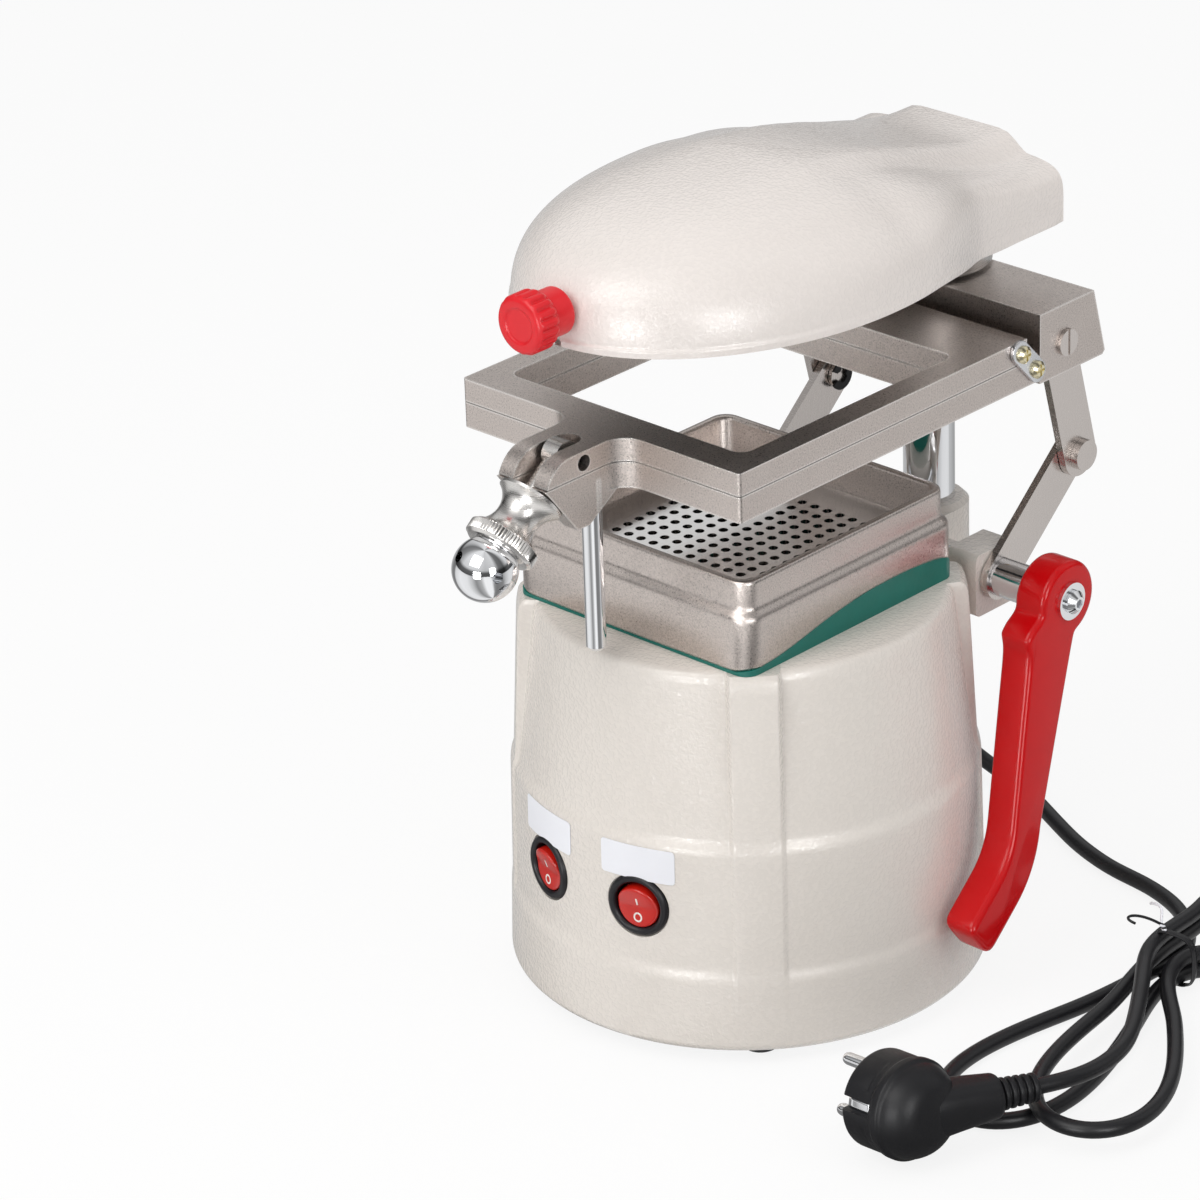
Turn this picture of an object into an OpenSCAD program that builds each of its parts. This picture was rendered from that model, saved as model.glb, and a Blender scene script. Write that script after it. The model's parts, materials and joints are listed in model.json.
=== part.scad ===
// Dental vacuum former: a round cast body holds the suction motor and carries a forming tray.
// A film frame slides down a rear column when the side handle is pulled, and a heater dome
// swings round the same column. Units are millimetres. The origin is on the table, on the
// axis of the body; +X is the machine's right, -Y its front, +Z up.

/* [Body] */
// Height of the rubber feet
foot_h = 6; // [4:0.5:10]
// Height of the flat top of the body above the table
body_top_z = 156; // [152:0.5:160]
// Outer radius of the foot ring
ring_r = 91.4; // [90:0.2:94]
// Height of the ledge above the foot ring
ring_z = 37; // [30:1:44]
// Outer radius of the middle band
band_r = 88.9; // [87.5:0.1:89.6]
// Height of the ledge above the middle band
ridge_z = 89; // [84:1:96]
// Outer radius of the upper body at its foot
waist_r = 86; // [84:0.5:87]
// Outer radius of the upper body at its top
top_r = 79; // [77:0.5:80]
// Wall of the cast body
body_wall = 4; // [3:0.5:5]
// Width of the four corner pilasters
pilaster_w = 19.4; // [16:0.2:24]
// Outer radius of the pilasters at the top
pilaster_top_r = 84.4; // [83:0.2:86]
// Thickness of the base plate
base_t = 2; // [1.5:0.5:3]
// Radius of each rubber foot
foot_r = 7.2; // [6:0.2:9]
// Distance of the feet from the axis
foot_pcr = 72; // [68:1:74]

/* [Switches] */
// Height of the two switches
switch_z = 62; // [58:1:68]
// Angle of each switch from the front centre
switch_angle = 15; // [13:0.5:20]
// Radius of the switch bezel
bezel_r = 12.4; // [12:0.1:13]
// Thickness of the switch bezel
bezel_t = 2.4; // [2:0.2:3]
// Radius of the switch barrel
barrel_r = 10.4; // [10.2:0.1:10.8]
// Angle through which each rocker turns
rocker_swing = 16; // [12:1:18]

/* [Tray] */
// Side of the square tray skirt
skirt_side = 117; // [115:0.5:119]
// Side of the square tray rim
rim_side = 112; // [110:0.5:113]
// Distance of the tray centre in front of the body axis
tray_front = 3; // [1:0.5:4]
// Height of the tray's lower edge
skirt_z = 163; // [162:0.5:165]
// Height of the step between skirt and rim
step_z = 181.5; // [180:0.5:182]
// Height of the tray rim
rim_z = 192; // [190:0.5:194]
// Thickness of the tray rim
rim_wall = 3.5; // [3:0.25:4.5]
// Rise of the arch in each side of the skirt
arch_rise = 5.5; // [4:0.5:6]
// Half width of the arch
arch_half = 46; // [40:1:50]
// Height of the perforated plate's top face
plate_z = 178; // [176.5:0.5:180]
// Thickness of the perforated plate
plate_t = 1.5; // [1:0.25:2]
// Distance between the suction holes
hole_pitch = 6.2; // [5.5:0.1:7]
// Radius of each suction hole
hole_r = 1.8; // [1.4:0.1:2.2]
// Number of suction holes along each side
hole_count = 12; // [8:1:14]

/* [Film frame] */
// Width of the frame
frame_w = 136; // [134:0.5:140]
// Front edge of the frame, in front of the body axis
frame_front = 74; // [72:0.5:76]
// Rear edge of the upper plate, behind the body axis
frame_rear = 84; // [82.5:0.5:84.5]
// Side of the square opening
opening_side = 115; // [114.5:0.25:117]
// Underside of the lower plate
lower_z = 225; // [224:0.5:227]
// Thickness of the lower plate
lower_t = 10; // [9:0.5:11]
// Thickness of the upper plate
upper_t = 8.9; // [8.5:0.1:10]
// Gap left between the two plates for the film
film_gap = 0.3; // [0.2:0.1:0.4]
// Width of the front tab
tab_w = 24; // [22:0.5:28]
// Width of the slot in the tab
slot_w = 10; // [9:0.5:11]
// Radius of the blend from tab to frame
tab_blend = 9.5; // [8:0.5:11]
// Distance that the frame comes down
carriage_drop = 42.8; // [40:0.2:43]

/* [Column and block] */
// Radius of the column
column_r = 10; // [9:0.5:11]
// Distance of the column behind the body axis
column_y = 108; // [106:0.5:110]
// Top of the column
column_top = 288; // [284:1:290]
// Front face of the sliding block, behind the body axis
block_front = 91.5; // [91:0.25:93]
// Top of the sliding block
block_top = 251; // [248:0.5:252]
// Outer radius of the slide bushes
bush_r = 13; // [12.5:0.5:14]

/* [Linkage] */
// Distance of the handle shaft behind the body axis
shaft_y = 78; // [77:0.5:79]
// Height of the handle shaft
shaft_z = 147.5; // [146:0.5:149]
// Radius of the handle shaft
shaft_r = 5; // [4:0.5:5.5]
// Distance of the elbow pivots behind the body axis
elbow_y = 120.5; // [119:0.5:122]
// Height of the elbow pivots
elbow_z = 184.5; // [183:0.5:186]
// Height of the link pins in the block
link_pin_z = 235.5; // [234.5:0.5:236.5]
// Thickness of each link
link_t = 3; // [2.5:0.25:3.25]
// Half width of each link
link_r = 9; // [8:0.5:9.5]
// Radius of the elbow rivets
rivet_r = 3; // [2.5:0.5:3.5]

/* [Handle] */
// Inner face of the handle boss
boss_x = 79; // [78:0.5:82]
// Thickness of the handle
handle_t = 14.5; // [12:0.5:16]
// Radius of the handle boss
boss_r = 15.6; // [14:0.2:17]
// Width of the handle arm
arm_w = 16.5; // [14:0.5:18]
// Height over which the straight arm runs
arm_drop = 78.5; // [70:0.5:85]
// Forward lean of the straight arm, in degrees
arm_lean = 17; // [14:0.5:19]
// Turn of the grip at its lower end, in degrees
grip_turn = 38; // [30:1:45]
// Length of the grip beyond the bend
grip_len = 22.8; // [18:0.2:28]
// Outward lean of the arm, which clears the body, in degrees
arm_flare = 8; // [7.5:0.5:9]

/* [Clamp] */
// Distance of the clamp pin in front of the body axis
clamp_pin_y = 94; // [93:0.5:95]
// Angle of the swing bolt below the horizontal, in degrees
bolt_angle = 38; // [36:0.5:40]
// Distance from the clamp pin to the slanted face of the lug
lug_reach = 18.6; // [18:0.1:19.4]
// Radius of the clamp sleeve at its ends
sleeve_r = 12.4; // [11.5:0.1:12.8]
// Radius of the clamp sleeve at its waist
sleeve_waist_r = 8; // [7:0.2:9]
// Length of the clamp sleeve
sleeve_len = 16.4; // [15:0.2:18]
// Radius of the knurled ring
ring_nut_r = 13.7; // [13:0.1:14.5]
// Thickness of the knurled ring
ring_nut_t = 6.4; // [5:0.2:8]
// Radius of the clamp ball
ball_r = 12; // [11:0.25:13]
// Radius of the swing bolt
bolt_r = 4; // [3.5:0.25:4.5]

/* [Heater dome] */
// Height of the dome rim
dome_rim_z = 281; // [279:0.5:284]
// Height of the dome above its rim
dome_h = 47; // [42:0.5:52]
// Half width of the dome
dome_half_w = 71.5; // [68:0.5:74]
// Distance from the widest place to the front of the dome
dome_front_len = 97; // [94:0.5:100]
// Place of the widest section, behind the body axis
dome_mid_y = 5; // [0:1:10]
// Half width of the neck over the column
neck_half_w = 50; // [46:0.5:54]
// Rear end of the neck, behind the body axis
neck_rear = 127; // [125:0.5:132]
// Height of the neck's lower edge
neck_rim_z = 273; // [271:0.5:276]
// Half width of the raised spine on the neck
spine_half_w = 24; // [20:0.5:28]
// Wall of the dome
dome_wall = 3.5; // [3:0.25:4.5]
// Radius of the hub under the neck
hub_r = 24.5; // [22:0.5:26]
// Radius of the heating plate
heater_r = 50; // [46:1:54]

/* [Suction unit] */
// Radius of the fan housing
fan_r = 52; // [48:1:54]
// Height of the fan housing
fan_h = 32; // [28:1:36]
// Radius of the motor
motor_r = 38; // [34:1:42]
// Outer radius of the suction duct
duct_r = 20; // [17:0.5:21]

/* [Mains lead] */
// Diameter of the cord
cord_d = 6.2; // [6:0.1:6.3]
// Radius of the plug body
plug_r = 18.5; // [17:0.5:19.5]

/* [Fits] */
// Radial gap of parts that turn or slide in one another
run_gap = 0.05; // [0.02:0.01:0.08]
// Gap between faces of neighbouring parts
seat_gap = 0.2; // [0.1:0.05:0.3]

/* [Hidden] */
$fn = 64;
small = 32;
cut = 1;

shell_bottom = foot_h;
plate_r = ring_r - body_wall - 1;
pilaster_angles = [45, 135, 225, 315];
base_screw_angles = [0, 90, 180, 270];
base_screw_pcr = plate_r - 8;
post_pcr = fan_r + 10;
switch_face_r = band_r - 1.9;
switch_bore_r = barrel_r + 0.1;
port_r = duct_r + 0.5;

tray_y = -tray_front;
arch_r = (arch_half * arch_half + arch_rise * arch_rise) / (2 * arch_rise);
arch_axis_z = skirt_z + arch_rise - arch_r;
plenum_z = skirt_z + arch_rise + 2;
plate_side = rim_side - 2 * rim_wall - 6;

lower_top = lower_z + lower_t;
upper_z = lower_top + film_gap;
upper_top = upper_z + upper_t;
tilt_y = frame_rear - upper_t / 2;
tilt_z = upper_z + upper_t / 2 + 0.05;
tab_front = clamp_pin_y + 20;
prong_r = 13.5;
clamp_pin_z = upper_z + upper_t / 2;
clamp_pin_r = 3;
slot_end = clamp_pin_y - 9;
lug_depth = 20;
front_rod_r = 3.75;
front_rod_x = 8;
front_rod_y = 86.9;
front_rod_len = 62;

block_rear_top = column_y + 15.3;
block_rear_bottom = column_y + 22;
block_bottom = lower_z - 1.5;
link_pin_y = column_y - 1;
link_pin_r = 3.5;
eye_slack = 2.8;
lower_link_x = 58;
upper_link_x = lower_link_x + link_t + 0.3;
slot_x = upper_link_x - 0.4;
slot_in = link_t + 0.8;
ear_out = lower_link_x - 0.5;
ear_in = 43.5;
ear_front = shaft_y - 11;
ear_rear = shaft_y + 12;
ear_bottom = shaft_z - 14.5;
ear_top = shaft_z + 11;
tower_r = 15.4;
tower_top = shaft_z + 6.5;
tower_bottom = 98;

arm_foot_y = -tan(arm_lean) * arm_drop;
arm_top_y = -10.4;
bend_r = 40;

bolt_dir = [0, -cos(bolt_angle), -sin(bolt_angle)];
sleeve_start = lug_reach + 0.5;
ring_start = sleeve_start + sleeve_len;
ball_dist = ring_start + ring_nut_t + 9.4;
bolt_end = ball_dist + 6.5;

hub_bottom = block_top + 1.5;
hub_spigot_r = 16;
hub_spigot_top = column_top + 4;
knob_z = dome_rim_z + 13.5;
knob_face = dome_front_len - dome_mid_y + 20;

fan_bottom = 85;
fan_top = fan_bottom + fan_h;
bracket_t = 3;

cord_r = cord_d / 2;
exit_angle = 118;
exit_z = 118;
exit_r = 81.6;
boot_len = 42;
boot_r = 6.5;

// Places along the lead from the strain relief to the tie of the hank
lead_points = [
    [-58.25, 109.57, 118], [-60.5, 113.8, 117.2], [-65, 122, 113.5], [-69, 130.5, 105], [-70.5, 138, 92],
    [-69, 144.5, 76], [-65, 150, 59], [-58.5, 155.5, 43], [-49, 160.5, 28.5], [-37, 164.5, 16.5],
    [-22, 166.5, 8.5], [-5, 165, 4.6], [12, 159, 3.6], [30, 150, 3.3], [49, 141, 3.2],
    [70, 134.5, 3.2], [92, 131.5, 3.2], [111, 124.5, 3.3], [126, 111.5, 3.8], [134.8, 97, 4.3]
];
// Places along the short run from the hank to the plug
plug_points = [
    [135.6, 76.5, 17], [138.6, 69.5, 17.4], [143.2, 62, 17.6], [148.8, 54, 17.7], [155.5, 44, 17.8],
    [164, 31, 18.2], [171.5, 18.5, 18.6], [176.5, 7.5, 18.9], [179, -4, 19.2], [179.2, -15, 19.6],
    [176.6, -26, 19.9], [171.8, -36.4, 20]
];
plug_end = [171.75, -36.5, 20];
plug_angle = 243;
plug_boot_len = 15;
plug_neck_len = 27;
// Middle of the rear of the plug's head, which stands at an angle to its neck
plug_head = [152, -79, 21.2];
head_angle = 174;
head_dip = 7;
head_roll = 16;
head_len = 21;

tie_at = [139, 83];
near_axis = [-86.5, -66.5];
far_axis = 76;
near_len = 131;
far_len = 70;
waist_w = 4.4;
lobe_w = 30;
pinch = 0.28;
layer = cord_d + 0.5;
loop_steps = 24;
tie_lift = 1.2;

// Flat rounded rectangle centred on the origin, built from plain rectangles and circles
module rounded_rect(x, y, r) {
    square([x - 2 * r, y], center = true);
    square([x, y - 2 * r], center = true);
    for (i = [-1, 1], j = [-1, 1]) translate([i * (x / 2 - r), j * (y / 2 - r)]) circle(r);
}

module rounded_block(x, y, z, r) {
    linear_extrude(z) rounded_rect(x, y, r);
}

// Cylinder along +X from x0 to x1
module along_x(x0, x1, r) {
    translate([x0, 0, 0]) rotate([0, 90, 0]) cylinder(h = x1 - x0, r = r);
}

// Extrudes a figure drawn in the Y-Z plane along +X from x0 to x1
module side_extrude(x0, x1) {
    translate([x0, 0, 0]) rotate([90, 0, 90]) linear_extrude(x1 - x0) children();
}

module at_switch(side) {
    rotate([0, 0, side * switch_angle]) translate([0, -switch_face_r, switch_z]) rotate([90, 0, 0]) children();
}

module at_bolt() {
    translate([0, -clamp_pin_y, clamp_pin_z]) rotate([90 + bolt_angle, 0, 0]) children();
}

// Outer outline of the cast body, right half, from the foot to the flat top
function body_outline(grow = 0) = [
    [0, shell_bottom], [ring_r - 2 + grow, shell_bottom], [ring_r + grow, shell_bottom + 2],
    [ring_r - 1.1 + grow, ring_z - 2], [band_r + grow, ring_z + 2], [band_r - 0.8 + grow, ridge_z - 2],
    [waist_r + grow, ridge_z + 2], [top_r + grow, body_top_z - 4], [top_r - 0.9 + grow, body_top_z - 1.2],
    [top_r - 3 + grow, body_top_z], [0, body_top_z]
];

function pilaster_outline() = [
    [0, shell_bottom], [ring_r - 2, shell_bottom], [ring_r, shell_bottom + 2], [ring_r - 0.9, ring_z - 2],
    [band_r + 1.1, ring_z + 2], [band_r + 0.1, ridge_z - 2], [waist_r + 1.6, ridge_z + 2],
    [pilaster_top_r, body_top_z - 5], [pilaster_top_r - 0.9, body_top_z - 1.6],
    [pilaster_top_r - 3, body_top_z], [0, body_top_z]
];

module body_cavity() {
    inner = body_wall;
    rotate_extrude() polygon([
        [0, shell_bottom - cut], [plate_r + seat_gap, shell_bottom - cut], [plate_r + seat_gap, ring_z],
        [band_r - inner - 0.4, ring_z + 3], [band_r - inner - 0.8, ridge_z - 4],
        [waist_r - inner - 0.4, ridge_z + 1], [top_r - inner - 0.6, body_top_z - 10],
        [top_r - inner - 5, body_top_z - 6], [0, body_top_z - 6]
    ]);
}

module body_shell() {
    color([0.88, 0.86, 0.83]) difference() {
        union() {
            difference() {
                union() {
                    rotate_extrude($fn = 96) polygon(body_outline());
                    intersection() {
                        rotate_extrude($fn = 96) polygon(pilaster_outline());
                        for (a = pilaster_angles) rotate([0, 0, a])
                            translate([pilaster_top_r - 14, 0, shell_bottom])
                                rounded_block(40, pilaster_w, body_top_z - shell_bottom, 3.5);
                    }
                }
                body_cavity();
            }
            for (a = base_screw_angles) rotate([0, 0, a]) {
                translate([base_screw_pcr, 0, shell_bottom + base_t + 2 * seat_gap])
                    cylinder(h = 24, r = 5);
                translate([base_screw_pcr, -2, shell_bottom + base_t + 2 * seat_gap])
                    cube([plate_r + 1 - base_screw_pcr, 4, 24]);
            }
            for (a = pilaster_angles) rotate([0, 0, a])
                translate([post_pcr, 0, fan_bottom]) cylinder(h = body_top_z - 3 - fan_bottom, r = 5);
        }
        for (a = base_screw_angles) rotate([0, 0, a])
            translate([base_screw_pcr, 0, shell_bottom]) cylinder(h = 18, r = 1.65, $fn = small);
        for (a = pilaster_angles) rotate([0, 0, a])
            translate([post_pcr, 0, fan_bottom - cut]) cylinder(h = 12, r = 1.65, $fn = small);
        for (side = [-1, 1]) at_switch(side) {
            translate([0, 0, -12]) cylinder(h = 20, r = switch_bore_r);
            cylinder(h = 6, r = bezel_r + 0.4);
        }
        translate([0, tray_y, body_top_z - 10]) cylinder(h = 20, r = port_r);
        rotate([0, 0, exit_angle]) translate([exit_r - 14, 0, exit_z]) rotate([0, 90, 0]) {
            cylinder(h = 20, r = 5 + run_gap);
            translate([0, 0, 14]) cylinder(h = 10, r = boot_r + 2);
        }
        yoke_seat();
    }
}

// Flat cut in the rear of the body where the yoke is bolted on
module yoke_seat() {
    translate([-tower_r - seat_gap, yoke_seat_y, tower_bottom - seat_gap])
        cube([2 * (tower_r + seat_gap), 40, body_top_z]);
    translate([-ear_out - 2, yoke_bar_front - seat_gap, ear_bottom - seat_gap])
        cube([2 * ear_out + 4, 40, body_top_z]);
    for (side = [0, 1]) mirror([side, 0, 0])
        translate([ear_in - seat_gap, ear_front - seat_gap, ear_bottom - seat_gap])
            cube([ear_out - ear_in + 6, 40, body_top_z]);
    for (z = yoke_bolt_z) translate([0, yoke_seat_y - 20, z])
        rotate([-90, 0, 0]) cylinder(h = 30, r = 2.7, $fn = small);
}

yoke_seat_y = top_r - 5;
yoke_bar_front = shaft_y - 7;
yoke_bolt_z = [108, 128];

module rear_yoke() {
    color([0.88, 0.86, 0.83]) difference() {
        union() {
            translate([0, column_y, tower_bottom]) cylinder(h = tower_top - 2 - tower_bottom, r = tower_r);
            translate([0, column_y, tower_top - 2]) cylinder(h = 2, r1 = tower_r, r2 = tower_r - 2);
            translate([-tower_r, yoke_seat_y, tower_bottom])
                cube([2 * tower_r, column_y - yoke_seat_y, tower_top - 2 - tower_bottom]);
            side_extrude(-ear_out, ear_out) bar_outline();
            for (side = [0, 1]) mirror([side, 0, 0]) side_extrude(ear_in, ear_out) ear_outline();
        }
        translate([0, column_y, tower_bottom + 6]) cylinder(h = 100, r = column_r + run_gap);
        translate([0, shaft_y, shaft_z]) along_x(-ear_out - cut, ear_out + cut, shaft_r + run_gap);
        for (z = yoke_bolt_z) translate([0, yoke_seat_y - cut, z])
            rotate([-90, 0, 0]) cylinder(h = 14, r = 2.1, $fn = small);
        for (z = set_screw_z) translate([0, column_y, z])
            rotate([-90, 0, 0]) cylinder(h = 30, r = 2.5, $fn = small);
    }
}

set_screw_z = [112, 136];

// Cross bar behind the shaft, in side view
module bar_outline() {
    translate([ear_rear - 12, ear_bottom]) square([12, ear_top - 10 - ear_bottom]);
}

// Shaft ear, in side view
module ear_outline() {
    translate([(ear_front + ear_rear) / 2, (ear_bottom + ear_top) / 2])
        rounded_rect(ear_rear - ear_front, ear_top - ear_bottom, 2.5);
}

module column() {
    color([0.82, 0.83, 0.85]) translate([0, column_y, tower_bottom + 6.2]) {
        cylinder(h = column_top - 1.5 - tower_bottom - 6.2, r = column_r);
        translate([0, 0, column_top - 1.5 - tower_bottom - 6.2])
            cylinder(h = 1.5, r1 = column_r, r2 = column_r - 1.5);
    }
}

module column_set_screws() {
    color([0.25, 0.25, 0.27]) for (z = set_screw_z)
        translate([0, column_y + column_r + 0.3, z]) rotate([-90, 0, 0]) difference() {
            cylinder(h = tower_r - column_r - 0.8, r = 2.45, $fn = small);
            translate([0, 0, tower_r - column_r - 2.8]) cylinder(h = 3, r = 1.3, $fn = 6);
        }
}

module base_plate() {
    color([0.62, 0.63, 0.65]) difference() {
        translate([0, 0, shell_bottom + seat_gap]) cylinder(h = base_t, r = plate_r, $fn = 96);
        for (a = base_screw_angles) rotate([0, 0, a])
            translate([base_screw_pcr, 0, shell_bottom + seat_gap]) {
                cylinder(h = 10, r = 1.9, $fn = small);
                cylinder(h = 1.4, r1 = 3.5, r2 = 2.1, $fn = small);
            }
        for (a = pilaster_angles) rotate([0, 0, a])
            translate([foot_pcr, 0, shell_bottom]) cylinder(h = 10, r = 2.1, $fn = small);
        for (i = [-3 : 3]) translate([i * 11, 0, shell_bottom])
            rounded_block(4, 44 - 6 * abs(i), 10, 1.9);
    }
}

module base_screws() {
    color([0.75, 0.76, 0.78]) for (a = base_screw_angles) rotate([0, 0, a])
        translate([base_screw_pcr, 0, shell_bottom + seat_gap + 0.05]) {
            cylinder(h = 1.3, r1 = 3.3, r2 = 1.9, $fn = small);
            cylinder(h = 12, r = 1.6, $fn = small);
        }
}

module rubber_feet() {
    color([0.1, 0.1, 0.11]) for (a = pilaster_angles) rotate([0, 0, a]) translate([foot_pcr, 0, 0]) {
        cylinder(h = 1, r1 = foot_r - 1, r2 = foot_r);
        translate([0, 0, 1]) cylinder(h = shell_bottom - 1, r1 = foot_r, r2 = foot_r + 0.6);
        translate([0, 0, shell_bottom]) cylinder(h = base_t + seat_gap + 1, r = 2, $fn = small);
        translate([0, 0, shell_bottom + base_t + 2 * seat_gap]) cylinder(h = 1.6, r = 3.6, $fn = small);
    }
}

// The two arched vaults that cross under the tray
module vaults(r) {
    for (turn = [0, 90]) translate([0, tray_y, arch_axis_z]) rotate([0, 0, turn])
        rotate([90, 0, 0]) translate([0, 0, -80]) cylinder(h = 160, r = r, $fn = 180);
}

module gasket() {
    side = skirt_side - 1;
    color([0, 0.43, 0.38]) difference() {
        union() {
            translate([0, tray_y, body_top_z]) rounded_block(side, side, skirt_z - body_top_z - seat_gap, 5);
            intersection() {
                translate([0, tray_y, body_top_z]) rounded_block(side, side, 20, 5);
                vaults(arch_r - seat_gap);
            }
        }
        translate([0, tray_y, body_top_z - cut]) rounded_block(side - 26, side - 26, 30, 8);
    }
}

module forming_tray() {
    color([0.69, 0.65, 0.62]) difference() {
        union() {
            translate([0, tray_y, skirt_z]) rounded_block(skirt_side, skirt_side, step_z - 1.2 - skirt_z, 7);
            translate([0, tray_y, step_z - 1.2]) rounded_block(skirt_side - 1, skirt_side - 1, 1.2, 6.5);
            translate([0, tray_y, step_z]) rounded_block(rim_side, rim_side, rim_z - step_z, 5.5);
        }
        vaults(arch_r);
        translate([0, tray_y, plate_z - plate_t])
            rounded_block(plate_side + 4, plate_side + 4, 30, 5);
        translate([0, tray_y, plate_z + 2.5])
            rounded_block(rim_side - 2 * rim_wall, rim_side - 2 * rim_wall, 30, 5);
        translate([0, tray_y, plenum_z + 2]) rounded_block(plate_side - 8, plate_side - 8, 30, 5);
        translate([0, tray_y, skirt_z - cut]) cylinder(h = 30, r = duct_r + run_gap);
    }
}

module perforated_plate() {
    span = (hole_count - 1) * hole_pitch / 2;
    color([0.72, 0.71, 0.70]) difference() {
        translate([0, tray_y, plate_z - plate_t])
            rounded_block(plate_side + 4 - 2 * seat_gap, plate_side + 4 - 2 * seat_gap, plate_t, 4.8);
        for (i = [0 : hole_count - 1], j = [0 : hole_count - 1])
            translate([i * hole_pitch - span, tray_y + j * hole_pitch - span, plate_z - plate_t - cut])
                cylinder(h = plate_t + 2 * cut, r = hole_r, $fn = 16);
    }
}

module suction_duct() {
    color([0.15, 0.15, 0.16]) translate([0, tray_y, 0]) difference() {
        union() {
            translate([0, 0, fan_top + seat_gap]) cylinder(h = plenum_z - 1 - fan_top, r = duct_r);
            translate([0, 0, body_top_z - 9]) cylinder(h = 2.6, r = duct_r + 5);
        }
        translate([0, 0, fan_top - cut]) cylinder(h = 90, r = duct_r - 3);
    }
}

module motor_bracket() {
    color([0.55, 0.56, 0.58]) difference() {
        translate([0, 0, fan_bottom - bracket_t - seat_gap]) cylinder(h = bracket_t, r = post_pcr + 8);
        translate([0, tray_y, fan_bottom - 10]) cylinder(h = 20, r = motor_r - 8);
        for (a = pilaster_angles) rotate([0, 0, a])
            translate([post_pcr, 0, fan_bottom - 10]) cylinder(h = 20, r = 1.9, $fn = small);
    }
}

module motor_screws() {
    color([0.75, 0.76, 0.78]) for (a = pilaster_angles) rotate([0, 0, a])
        translate([post_pcr, 0, fan_bottom - bracket_t - seat_gap]) {
            translate([0, 0, -2.6]) cylinder(h = 2.4, r = 3.2, $fn = small);
            translate([0, 0, -1]) cylinder(h = 12, r = 1.6, $fn = small);
        }
}

module fan_housing() {
    color([0.2, 0.2, 0.22]) translate([0, tray_y, fan_bottom]) difference() {
        cylinder(h = fan_h, r = fan_r);
        translate([0, 0, 3]) cylinder(h = fan_h - 6, r = fan_r - 3);
        translate([0, 0, fan_h - 5]) cylinder(h = 10, r = duct_r - 3);
        translate([0, 0, -cut]) cylinder(h = 10, r = 8);
        for (a = [15 : 30 : 345]) rotate([0, 0, a])
            translate([fan_r - 6, -3, 8]) cube([12, 6, fan_h - 16]);
    }
}

module impeller() {
    color([0.78, 0.79, 0.8]) translate([0, tray_y, fan_bottom]) {
        translate([0, 0, 7]) cylinder(h = 1.5, r = fan_r - 8);
        translate([0, 0, 7]) cylinder(h = 9, r = 9);
        translate([0, 0, -14]) cylinder(h = 22, r = 4);
        for (a = [0 : 40 : 320]) rotate([0, 0, a])
            translate([14, -0.75, 8.4]) cube([fan_r - 24, 1.5, 12]);
    }
}

module motor_body() {
    top = fan_bottom - bracket_t - 2 * seat_gap;
    color([0.35, 0.36, 0.38]) translate([0, tray_y, 0]) difference() {
        union() {
            translate([0, 0, top - 14]) cylinder(h = 14, r = motor_r);
            translate([0, 0, top - 44]) cylinder(h = 31, r = motor_r - 4);
            translate([0, 0, top - 56]) cylinder(h = 13, r1 = 14, r2 = motor_r - 8);
        }
        translate([0, 0, top - 14]) cylinder(h = 20, r = 4 + run_gap);
        for (a = [0 : 30 : 330]) rotate([0, 0, a])
            translate([motor_r - 9, -2.5, top - 36]) cube([12, 5, 18]);
    }
}

module terminal_block() {
    color([0.9, 0.89, 0.86]) translate([-46, 30, shell_bottom + base_t + 2 * seat_gap]) difference() {
        union() {
            cube([44, 20, 6]);
            for (i = [0 : 3]) translate([3 + i * 10, 4, 0]) cube([8, 12, 14]);
        }
        for (i = [0 : 3]) translate([7 + i * 10, 10, 6]) cylinder(h = 20, r = 2.4, $fn = small);
        for (i = [0 : 3]) translate([7 + i * 10, -cut, 5]) rotate([-90, 0, 0])
            cylinder(h = 40, r = 1.6, $fn = small);
    }
}

// Round pocket with flat sides that takes the rocker
module rocker_plan(r, half_w) {
    intersection() {
        circle(r);
        square([2 * half_w, 4 * r], center = true);
    }
}

module switch_housing(side) {
    color([0.13, 0.12, 0.13]) at_switch(side) difference() {
        union() {
            translate([0, 0, 0.05]) cylinder(h = bezel_t - 0.8, r = bezel_r);
            translate([0, 0, bezel_t - 0.75]) cylinder(h = 0.8, r1 = bezel_r, r2 = bezel_r - 0.9);
            translate([0, 0, -16]) cylinder(h = 16.5, r = barrel_r);
            for (x = [-4, 4]) translate([x - 0.4, -3, -23]) cube([0.8, 6, 8]);
        }
        translate([0, 0, -10]) linear_extrude(20) rocker_plan(barrel_r - 0.9, 6.8);
        translate([0, 0, rocker_axis]) along_x(-7.7, 7.7, 1 + 0.06);
    }
}

rocker_axis = -3;

module switch_rocker(side) {
    color([0.78, 0.12, 0.08]) at_switch(side) translate([0, 0, rocker_axis]) rotate([rocker_swing / 2, 0, 0]) {
        intersection() {
            side_extrude(-6.4, 6.4) polygon([
                [-8.6, 6.6], [-7.6, 7], [0, 4.4], [7.6, 7], [8.6, 6.6], [7.2, -3], [3, -5], [-3, -5], [-7.2, -3]
            ]);
            translate([0, 0, -10]) cylinder(h = 30, r = 8.5);
        }
        along_x(-7.5, 7.5, 1);
    }
}

module heat_switch_housing() { switch_housing(1); }
module heat_switch_rocker() { switch_rocker(1); }
module model_switch_housing() { switch_housing(-1); }
module model_switch_rocker() { switch_rocker(-1); }

module crank_shaft() {
    color([0.8, 0.81, 0.83]) translate([0, shaft_y, shaft_z]) difference() {
        along_x(-lower_link_x - link_t, boss_x + handle_t - 0.5, shaft_r);
        along_x(boss_x + handle_t - 14, boss_x + handle_t + cut, 2.1);
        along_x(-lower_link_x - link_t - cut, -lower_link_x + 9, 2.1);
    }
}

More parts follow.
